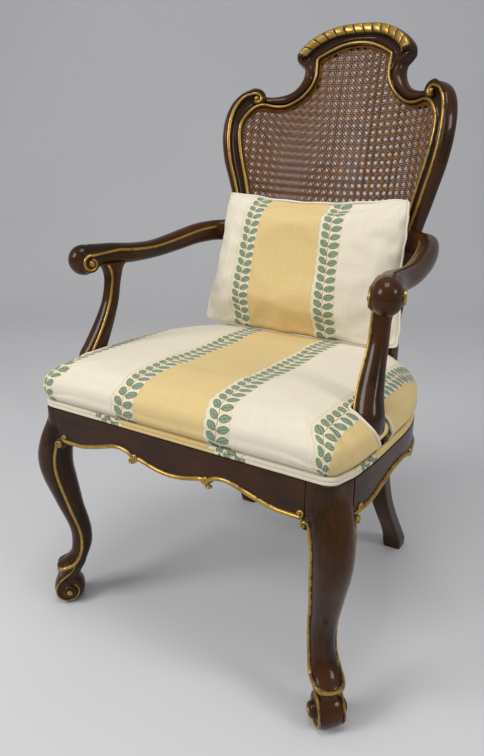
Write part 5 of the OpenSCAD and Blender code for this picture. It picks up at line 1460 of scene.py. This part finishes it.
print_group.links.new(step("LESS_THAN", step("ABSOLUTE", step("ADD", across, sway)), 0.65), out["Stem"])
print("leaf columns every", REPEAT, "mm")

# %% Mix the linen
def linen(name, shift=(0, 0), bias=0):
    """Printed linen, its pattern shifted in mm and turned for cloth cut on the bias."""
    finish, tree, shader = new_finish(name, Roughness=0.82, Sheen_Weight=0.12, Sheen_Roughness=0.5)
    place = add(tree, "Mapping", {"Vector": places(tree, "UV"), "Location": (*shift, 0),
                                  "Scale": (1 / MM, 1 / MM, 1),
                                  "Rotation": (0, 0, math.radians(bias))}).outputs[0]
    wave = add(tree, "TexNoise", {"Vector": place, "Scale": 0.12, "Detail": 2.0}).outputs[1]
    wave = add(tree, "VectorMath", {0: wave, 1: (0.5, 0.5, 0.5)}, operation="SUBTRACT").outputs[0]
    wave = add(tree, "VectorMath", {0: wave, "Scale": 3.0}, operation="SCALE").outputs[0]
    hand_printed = add(tree, "VectorMath", {0: place, 1: wave}, operation="ADD").outputs[0]
    design = use_group(tree, print_group, Place=hand_printed)
    weave = use_group(tree, weave_group, Place=place)
    step = maths(tree)
    colour = blend_colour(tree, design["Stripe"], seen(231, 223, 205), seen(224, 198, 138))
    colour = blend_colour(tree, design["Halo"], colour, seen(231, 222, 190))
    colour = blend_colour(tree, step("MULTIPLY", design["Line"], 0.55), colour, seen(150, 124, 84))
    colour = blend_colour(tree, step("MULTIPLY", design["Stem"], 0.8), colour, seen(150, 116, 62))
    tint = stretch(tree, noise(tree, place, 0.35, 3.0), 0.35, 0.65)
    leaf = blend_colour(tree, tint, seen(102, 130, 110), seen(146, 166, 142))
    leaf = blend_colour(tree, step("MULTIPLY", design["Rim"], 0.85), leaf, seen(48, 70, 58))
    colour = blend_colour(tree, step("MULTIPLY", design["Leaf"], 0.95), colour, leaf)
    shade = step("MULTIPLY_ADD", weave["Slub"], 0.07, 0.95)
    shade = step("MULTIPLY", shade, step("MULTIPLY_ADD", weave["Thread"], 0.05, 0.95))
    grey = add(tree, "CombineColor", {0: shade, 1: shade, 2: shade}).outputs[0]
    paint(tree, shader, blend_colour(tree, 1.0, colour, grey, "MULTIPLY"))
    bump(tree, shader, step("MULTIPLY_ADD", weave["Slub"], 0.6, weave["Thread"]), 0.00025, 0.5)
    return finish


seat_linen = linen("striped_linen")
welt_linen = linen("striped_linen_bias", shift=(-5, 0), bias=-45)
pillow_linen = linen("striped_linen_pillow", shift=(22, 0))
cord_linen = linen("striped_linen_cord", shift=(183, 0))
print("linen mixed for seat, welt and pillow")

# %% [markdown]
# ## Seat
#
# The cover is one piece of linen drawn over hair and foam: low and tight at the rails,
# swelling out over them, rounding at its top edge and rising to a soft crown. It is laid
# ring by ring on the outline of the rails, on both its faces. Its UV map is the cloth's
# own plane: flat on top, and rolled off the top edge down the sides, so that the stripes
# run over the front edge without a break. Then the cloth simulation lets the air inside
# push it out while its lower edge and the middle of the crown are held, which swells
# its edges a little unevenly.
#
# Each row of its tables gives how far a ring is set in (shares of the rebate's width),
# how far it is drawn to the middle, and its height (a share of the crown's). TUCK is
# the set-in of the cloth's lowest edge.

# %% Draw the seat's outline
CROWN_H, COVER_T, REAR_D, WELT_D, TUCK = 88, 6, SEAT_D + 34, 7, 0.571
rear_half = REAR_LEG_X * 0.92 - REAR_LEG_W / 2
REST = np.array([0, SEAT_D / 2 - FRONT])
seat_half = np.vstack([[[0, 0], [BLOCK_IN, 0]], corner_edge, smooth(side_edge[:-1], 5),
                       [[0.58 * SEAT_W / 2, REAR_D], [0.3 * SEAT_W / 2, REAR_D], [0, REAR_D]]])
seat_half = even(seat_half, gap=8.5) - [0, FRONT]
outline = np.vstack([seat_half, seat_half[-2:0:-1] * [-1, 1]])
into = leftward(outline, loop=True)
cushion_rows = np.vstack([[[TUCK, 0, 0.004], [TUCK, 0, 0.09]], smooth([
    [TUCK, 0, 0.16], [0.1, 0, 0.24], [-0.36, 0, 0.36], [-0.45, 0, 0.5], [-0.2, 0, 0.64], [0, 0.035, 0.76],
    [0, 0.1, 0.86], [0, 0.22, 0.925], [0, 0.42, 0.97], [0, 0.65, 0.992], [0, 0.86, 1], [0, 0.97, 1.002]], 4)])
lining_rows = np.array([[TUCK, 0, 0.26], [0.3, 0, 0.32], [-0.3, 0, 0.42], [-0.3, 0, 0.6],
                        [0, 0.035, 0.74], [0, 0.12, 0.86], [0, 0.26, 0.93], [0, 0.5, 0.97], [0, 0.8, 0.995]])


def cushion_ring(row, tuck=0, drop=0):
    """A ring of the cushion: the outline set in, drawn to the middle and raised."""
    ring = outline + into * (row[0] * TACK_STEP + tuck)
    ring = ring + (REST - ring) * row[1]
    return np.hstack([ring, np.full((len(ring), 1), RAIL_Z + row[2] * CROWN_H - drop)])


skin = [cushion_ring(row) for row in cushion_rows]
lining = [cushion_ring(cushion_rows[0], COVER_T)]
lining += [cushion_ring(row, COVER_T, 0 if row[2] < 0.3 else COVER_T) for row in lining_rows]
print("outline of", len(outline), "points,", len(skin), "rings outside and", len(lining), "inside")

# %% Lay the seat cover
turn_row = int(np.argmax(cushion_rows[:, 1] > 0.05))
cloth = [ring[:, :2] for ring in skin]
run = 0
for j in range(turn_row - 1, -1, -1):
    run = run + np.linalg.norm(skin[j + 1] - skin[j], axis=1)
    cloth[j] = skin[turn_row][:, :2] - into * run[:, None]
rings = skin[::-1] + lining
HELD_MIDDLE = [150, 130]
held = []
for row, ring in zip(cushion_rows[::-1], rings):
    low = np.clip((0.34 - row[2]) * CROWN_H / 8, 0, 1)
    from_middle = np.linalg.norm((ring[:, :2] - REST) / HELD_MIDDLE, axis=1)
    held.append(np.maximum(low, np.clip(2 - 2 * from_middle, 0, 1)))
held += [np.ones(len(outline))] * len(lining)
on_cloth = cloth[::-1] + [ring[:, :2] for ring in lining]
cover = lay("seat_cover_linen", rings, cloth=on_cloth, shade_and_hold=held, sharp=70)
print("cover laid,", len(cover.data.vertices), "points, folded down from ring", turn_row)

# %% [markdown]
# ### Let the cloth settle
#
# One helper runs the simulation for the seat and the pillow. Held points stay where
# they are, the air inside pushes the rest, and no point may move further than a cap.
# How firmly a point is held is stored as its shade_and_hold value, and taken off again here.

# %% Settle the seat cover
def places_of(obj):
    """An object's points as rows, in metres."""
    flat = np.empty(len(obj.data.vertices) * 3)
    obj.data.vertices.foreach_get("co", flat)
    return flat.reshape(-1, 3)


def settle(obj, pressure, cap, slack=0.0, stiffness=20, frames=14):
    """Blow the cloth up from inside for some frames, and keep the result."""
    held = obj.data.attributes["shade_and_hold"]
    weights = [point.value for point in held.data]
    obj.data.attributes.remove(held)
    before = places_of(obj)
    group = obj.vertex_groups.new(name="held")
    for i, weight in enumerate(weights):
        group.add([i], weight, "REPLACE")
    fabric = obj.modifiers.new("cloth", "CLOTH")
    fabric.point_cache.frame_start, fabric.point_cache.frame_end = 1, frames
    settings = fabric.settings
    settings.quality, settings.mass = 5, 0.3
    settings.tension_stiffness = settings.compression_stiffness = stiffness
    settings.shear_stiffness, settings.bending_stiffness = stiffness / 2, 0.3
    settings.use_pressure, settings.uniform_pressure_force = True, pressure
    settings.shrink_min = -slack
    settings.effector_weights.gravity = 0
    settings.vertex_group_mass = "held"
    for frame in range(1, frames + 1):
        bpy.context.scene.frame_set(frame)
    bpy.ops.object.select_all(action="DESELECT")
    obj.select_set(True)
    bpy.context.view_layer.objects.active = obj
    bpy.ops.object.modifier_apply(modifier="cloth")
    bpy.context.scene.frame_set(1)
    obj.vertex_groups.remove(obj.vertex_groups["held"])
    shift = places_of(obj) - before
    size = np.linalg.norm(shift, axis=1, keepdims=True)
    shift *= np.minimum(1, cap * MM / np.maximum(size, 1e-9))
    obj.data.vertices.foreach_set("co", (before + shift).ravel())
    obj.data.update()
    print(obj.name, "settled, most", round(float(size.max()) / MM, 1), "mm")


settle(cover, pressure=3.0, cap=5)

# %% [markdown]
# ### Fit the cover round the posts
#
# The cloth is cut out for the arm posts and tucked in round the rear posts. Each cut is
# a boolean with a block of the post's own outline, a little larger. The edge that the
# block leaves on the cloth is followed point by point, and a thin self welt is laid
# along it, as the upholsterer turned and piped it.

# %% Cut the cover
CLOTH_CLEAR, CUT_FOOT = 1.5, RAIL_Z - 40
OUTSIDE, LINING, CUT = 0, 1, 2
near = post_line[:, 2] < RAIL_Z + CROWN_H * 1.25
low_rows, low_line = post_rows[near], post_line[near]
deep = low_rows[:, 4] * ARM_W + CLOTH_CLEAR
wide = low_rows[:, 3] * ARM_W + CLOTH_CLEAR
inner_x = float(min(low_line[:, 0] - wide))
front_side = np.stack([low_line[:, 1] - deep, low_line[:, 2]], 1)
rear_side = np.stack([low_line[:, 1] + deep, low_line[:, 2]], 1)[::-1]
profile = np.vstack([[front_side[0, 0], CUT_FOOT], front_side, rear_side, [rear_side[-1, 0], CUT_FOOT]])


def three_slots(obj):
    """Give a piece a slot each for its outside, its lining and its cut faces."""
    for _ in (OUTSIDE, LINING, CUT):
        obj.data.materials.append(seat_linen)


def block_cut(profile, inner, side):
    """A block with a profile of [y, z] places, from an inner x outward, on one side."""
    ends = [np.hstack([np.full((len(profile), 1), side * x), profile]) for x in (inner, SEAT_W)]
    block = lay("cloth_cut", ends)
    three_slots(block)
    for polygon in block.data.polygons:
        polygon.material_index = CUT
    return block


near_y, CUT_TOP = SEAT_D - CLOTH_CLEAR - FRONT, RAIL_Z + CROWN_H * 2
far_y = near_y + 200
rear_profile = np.array([[near_y, CUT_FOOT], [near_y, CUT_TOP], [far_y, CUT_TOP], [far_y, CUT_FOOT]])
cutters = [block_cut(shape, inner, side) for side in (-1, 1)
           for shape, inner in ((profile, inner_x), (rear_profile, rear_half - CLOTH_CLEAR))]
three_slots(cover)
bpy.ops.object.select_all(action="DESELECT")
bpy.context.view_layer.objects.active = cover
cover.select_set(True)
for cutter in cutters:
    cut = cover.modifiers.new("cut", "BOOLEAN")
    cut.object, cut.operation, cut.solver = cutter, "DIFFERENCE", "EXACT"
    bpy.ops.object.modifier_apply(modifier="cut")
    bpy.data.objects.remove(cutter)
print("cover cut round four posts,", len(cover.data.polygons), "faces")

# %% [markdown]
# The cut shows as an edge between the faces of the outer skin and the new faces that the
# block left. The new faces have a slot of their own. The lining would give such edges
# too, so its faces are told apart first: they point back at the middle of the seat,
# and the outer ones point away from it. The line is rubbed even three times, because a
# boolean leaves its points unevenly spaced.

# %% Lay the self welt round each cut
SHORTEST, CORD_R, CORD_OUT = 12, 2.6, 0.6


def cut_edges(obj, first, second):
    """Lines on which faces of two material slots meet, as chains of places in mm."""
    beside = {}
    for polygon in obj.data.polygons:
        for key in polygon.edge_keys:
            beside.setdefault(key, set()).add(polygon.material_index)
    links = {}
    for (a, b), slots in beside.items():
        if slots == {first, second}:
            links.setdefault(a, []).append(b)
            links.setdefault(b, []).append(a)
    chains = []
    for start in [v for v in links if len(links[v]) == 1]:
        chain = [start]
        while links[chain[-1]]:
            following = links[chain[-1]].pop()
            links[following].remove(chain[-1])
            chain.append(following)
        if len(chain) > SHORTEST:
            chains.append(np.array([obj.data.vertices[i].co for i in chain]) / MM)
    return chains


heart = Vector((0, (SEAT_D / 2 - FRONT) * MM, (RAIL_Z - 60) * MM))
for polygon in cover.data.polygons:
    if polygon.material_index != CUT and polygon.normal.dot(polygon.center - heart) < 0:
        polygon.material_index = LINING
parts = []
for chain in cut_edges(cover, OUTSIDE, CUT):
    line = even(chain, gap=5)
    for _ in range(3):
        line[1:-1] = (line[:-2] + 2 * line[1:-1] + line[2:]) / 4
    if np.ptp(line[:, 2]) < 30 or line[:, 2].max() > RAIL_Z + CROWN_H * 1.2:
        continue
    line = line[line[:, 2] > RAIL_Z + 2 * WELT_D - 2]
    away = unit(line - np.array(heart) / MM)
    parts.append(lay("self_welt", strip(line + away * CORD_OUT, away, tube(CORD_R))))
    print("self welt of", len(line), "points")
for polygon in cover.data.polygons:
    polygon.material_index = OUTSIDE
self_welt = join("seat_self_welt", parts)
dress(self_welt, cord_linen, "welt_cloth")
dress(cover, seat_linen, "striped_linen", "seat_cover")

# %% [markdown]
# ### Double welt, filling and webbing
#
# The double welt is two cords in one strip of linen cut on the bias, glued over the
# tacks along the rails. Inside lie the foam on its webbing, and under all of it a black
# dust cloth is stretched. The construction model's rear rail, blocks, straps, dowels and
# screws keep their shapes and get their own finishes.

# %% Lay the double welt
WELT_IN = TACK_STEP - COVER_T - WELT_D / 2 - 0.3
welt_end = int(np.argmax(seat_half[:, 1] > SEAT_D - FRONT - 2))
welt_path = (outline + into * WELT_IN)[np.r_[-welt_end:0, 0:welt_end]]
rear_run = np.stack([np.linspace(rear_half - CLOTH_CLEAR, CLOTH_CLEAR - rear_half, 60),
                     np.full(60, REAR_D - WELT_IN - FRONT)], 1)
parts = []
for run in (welt_path, rear_run):
    side = np.hstack([-leftward(run), np.zeros((len(run), 1))])
    length = run_of(run)
    for height in (0.5, 1.42):
        line = np.hstack([run, np.full((len(run), 1), RAIL_Z + 0.3 + height * WELT_D)])
        strip_of_cloth = [[[11 * height + k, at - length[-1] / 2] for k in range(13)] for at in length]
        parts.append(lay("welt", strip(line, side, tube(WELT_D / 2, 12)), cloth=strip_of_cloth))
welt = join("seat_double_welt", parts)
dress(welt, welt_linen, "welt_cloth", "seat_welt")
print("double welt laid")

# %% [markdown]
# ## Loose pillow
#
# Two panels of the same linen, sewn round a cord and filled. Each row of the pillow is
# laid round front and back at once, flat at the four seams, with the drawn-in sides, the
# dipped top edge and the crease above its middle already in it. Then the simulation lets
# the cloth give a little while its seams are held.
#
# SIDE_DRAW and CORNER_DRAW are how far the sides and corners are drawn in, TOP_DIP and
# FOOT_DIP how far the long edges dip between the corners, all as shares of the half size.

# %% Draw the pillow
PILLOW_W, PILLOW_H, PILLOW_T, PIPING_D, TAPER, LEAN = 450, 298, 110, 7, 0.06, math.radians(14)
SIDE_DRAW, CORNER_DRAW, CORNER_DIP, TOP_DIP, FOOT_DIP, CREASE = 0.055, 0.05, 0.06, 0.14, -0.01, 4.5
PILLOW_AT = np.array([0, 115, 671])
CLOTH_HALF_W, CLOTH_HALF_H = 211, PILLOW_H / 2 + 12


def on_pillow(s, t, side):
    """A place on the pillow from shares across and up, on its front (-1) or back (1)."""
    corner = np.abs(s * t) ** 7
    draw = 1 - SIDE_DRAW * (1 - t**2) * np.abs(s) ** 3 - CORNER_DRAW * corner
    dip = np.where(t > 0, TOP_DIP, FOOT_DIP) * (1 - s**2) * np.abs(t) ** 3
    sag = (1 - dip) * (1 - CORNER_DIP * corner)
    ripple = np.sin(19 * t + 2 * s) * np.sin(7 * t + 1.3) * 1.6 * np.abs(s) ** 8
    z = t * (PILLOW_H - PIPING_D) / 2 * sag + np.sin(17 * s) * 0.8 * np.abs(t) ** 8
    x = (s * (PILLOW_W - PIPING_D) / 2 * draw + ripple) * (1 - TAPER * 2 * z / PILLOW_H)
    full = np.maximum(1 - np.abs(s) ** 3, 0) ** 0.56 * np.maximum(1 - np.abs(t) ** 2.5, 0) ** 0.56
    gather = np.sin(21 * t + 7 * s * np.sign(t)) * 1.6 * np.abs(s) ** 5 * np.maximum(1 - np.abs(s), 0) ** 0.4
    from_crease, from_top = (s + 0.06 + 0.25 * (1 - t)) / 0.09, (1 - t) / 0.3
    crease = CREASE * np.exp(-(from_crease**2)) * np.exp(-(from_top**2)) * full
    y = side * ((PILLOW_T / 2 - 3) * full - crease) + gather
    return (PILLOW_AT + np.stack([x, y * math.cos(LEAN) + z * math.sin(LEAN),
                                  -y * math.sin(LEAN) + z * math.cos(LEAN)], -1))


ACROSS, UP = 64, 44


def shares(steps):
    """Shares from -1 to 1, closer together near the seams."""
    return np.sin(np.linspace(-1, 1, steps + 1) * np.pi / 2 * 0.8) / math.sin(np.pi / 2 * 0.8)


s, t = shares(ACROSS), shares(UP)
print("pillow of", ACROSS, "by", UP, "faces on each side")

# %% Lay the pillow and let it settle
rings, cloth, held = [], [], []
for height in t:
    front, rear = on_pillow(s, height, -1), on_pillow(s[-2:0:-1], height, 1)
    rings.append(np.vstack([front, rear]))
    wide = np.concatenate([s, s[-2:0:-1]]) * CLOTH_HALF_W
    cloth.append(np.stack([wide, np.full(len(wide), height * CLOTH_HALF_H)], 1))
    seam = np.zeros(len(wide))
    seam[[0, ACROSS]] = 1
    held.append(np.ones(len(wide)) if abs(height) > 0.999 else seam)
pillow = lay("pillow_linen", rings, cloth=cloth, shade_and_hold=held, caps=False, sharp=80)
settle(pillow, pressure=1.2, cap=10, slack=0.01, stiffness=15)
soften = pillow.modifiers.new("fine", "SUBSURF")
soften.levels = soften.render_levels = 1
bpy.ops.object.modifier_apply(modifier="fine")

# %% [markdown]
# Recalculating normals starts from the face that lies farthest out. On a pillow that is
# a corner, where both panels look sideways, so the faces can come out turned inward. A
# test against the middle finds that, and turns them over.

# %% Turn the pillow's faces outward
def face_away(obj, middle):
    """Turn a piece's faces over if most of their area looks at a middle, given in mm."""
    middle = Vector(middle * MM)
    if sum(face.normal.dot(face.center - middle) * face.area for face in obj.data.polygons) < 0:
        edit(obj)
        bpy.ops.mesh.flip_normals()
        bpy.ops.object.mode_set(mode="OBJECT")
        print(obj.name, "turned over")


face_away(pillow, PILLOW_AT)
dress(pillow, pillow_linen, "striped_linen", "pillow", body="loose_pillow")

# %% Lay the cord in the pillow's seam
PIPING_R, PIPING_OUT = 2.5, 1.2
edge = np.vstack([on_pillow(s[:-1], -1.0, 0), on_pillow(np.ones(UP), t[:-1], 0),
                  on_pillow(s[:0:-1], 1.0, 0), on_pillow(-np.ones(UP), t[:0:-1], 0)])
lean_out = unit(edge - PILLOW_AT)
normal = np.tile([0, math.cos(LEAN), -math.sin(LEAN)], (len(edge), 1))
piping = lay("pillow_cord", strip(edge + lean_out * PIPING_OUT, normal, tube(PIPING_R), loop=True), loop=True)
dress(piping, cord_linen, "welt_cloth", "pillow_piping", body="loose_pillow")

# %% [markdown]
# ## Inside the seat
#
# Little of this shows from the photograph's side, but a chair that is turned over has
# all of it: the stained rear rail, pale beech blocks and dowels, jute straps, screws,
# foam and dust cloth.

# %% Mix the inner finishes
beech, tree, shader = new_finish("planed_beech", Roughness=0.62)
place = add(tree, "Mapping", {"Vector": places(tree), "Rotation": (0, 0, math.pi / 2)}).outputs[0]
figure = use_group(tree, figure_group, Place=place)
paint(tree, shader, blend_colour(tree, figure["Streak"], seen(176, 136, 92), seen(206, 170, 124)))
bump(tree, shader, figure["Streak"], 0.0002, 0.4)


def woven_cloth(name, first, second, thread):
    """A plain woven cloth in two colours, with its thread size in mm."""
    finish, tree, shader = new_finish(name, Roughness=0.9)
    finer = (1000 * THREAD / thread,) * 3
    place = add(tree, "Mapping", {"Vector": places(tree), "Scale": finer}).outputs[0]
    weave = use_group(tree, weave_group, Place=place)
    step = maths(tree)
    share = step("MULTIPLY_ADD", weave["Slub"], 0.5, step("MULTIPLY", weave["Thread"], 0.5))
    paint(tree, shader, blend_colour(tree, share, first, second))
    bump(tree, shader, weave["Thread"], 0.0004, 0.6)
    return finish


jute = woven_cloth("jute_webbing", seen(128, 100, 62), seen(176, 146, 100), 3.2)
black_cloth = woven_cloth("black_cambric", seen(18, 18, 19), seen(42, 42, 44), 0.9)
steel, tree, shader = new_finish("screw_steel", Metallic=1.0)
grain = noise(tree, places(tree), 900.0)
paint(tree, shader, blend_colour(tree, grain, seen(150, 150, 154), seen(196, 196, 200)))
tree.links.new(add(tree, "MapRange", {0: grain, 3: 0.3, 4: 0.5}).outputs[0], shader.inputs["Roughness"])
foam_finish, tree, shader = new_finish("cut_foam", Roughness=0.95)
cells = add(tree, "TexVoronoi", {"Vector": places(tree), "Scale": 500.0}).outputs[0]
paint(tree, shader, blend_colour(tree, cells, seen(214, 196, 140), seen(238, 226, 184)))
bump(tree, shader, cells, 0.0008, 0.6)
print("beech, jute, black cloth, steel and foam mixed")

# %% Give the kept solids their finishes
for node, finish in (("rear_rail", moulded_walnut), ("corner_blocks", beech), ("back_dowels", beech),
                     ("post_dowels", beech), ("corner_screws", steel), ("webbing", jute)):
    solid = frame["nodes"][node]
    solid.data.materials.clear()
    solid.data.materials.append(finish)
    print(node, "finished in", finish.name)

# %% Lay the foam
foam_rows = smooth([[0.3, 0, 0.3], [-0.1, 0, 0.42], [-0.2, 0, 0.6], [0, 0.035, 0.74], [0, 0.12, 0.86],
                    [0, 0.26, 0.93], [0, 0.5, 0.97], [0, 0.8, 0.995]], 3)
foam_rows = foam_rows[foam_rows[:, 2] > 0.3]
FOAM_IN = COVER_T + 0.5
foam_rings = [cushion_ring(row, FOAM_IN, FOAM_IN)[::3] for row in foam_rows]
foam = lay("seat_foam_block", foam_rings[::-1])
dress(foam, foam_finish, "foam", "seat_foam")

# %% Stretch the dust cloth
low, high = (np.array(corner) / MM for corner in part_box("dust_cover"))
at = np.concatenate([np.linspace(low[1], 50 - FRONT, 4), np.linspace(52 - FRONT, high[1], 24)])
inner_edge = np.interp(at + FRONT, smooth_side[:, 1], smooth_side[:, 0]) - RAIL_T - 1
wide = np.where(at < 51 - FRONT, BLOCK_IN - 1, np.minimum(inner_edge, high[0]))
wide = np.where(at > SEAT_D - FRONT - 1, rear_half - 1, wide)
across = np.linspace(-1, 1, 25)
dust_rows = []
for y, w, share in zip(at, wide, np.linspace(-1, 1, len(at))):
    sag = 2.5 * (1 - across**2) * (1 - share**2)
    dust_rows.append(np.stack([across * w, np.full(25, y), (low[2] + high[2]) / 2 - sag], 1))
dust = lay("dust_cloth", dust_rows, around=False)
face_away(dust, np.array([0, 0, RAIL_Z]))
dress(dust, black_cloth, "dust_cloth", "dust_cover")
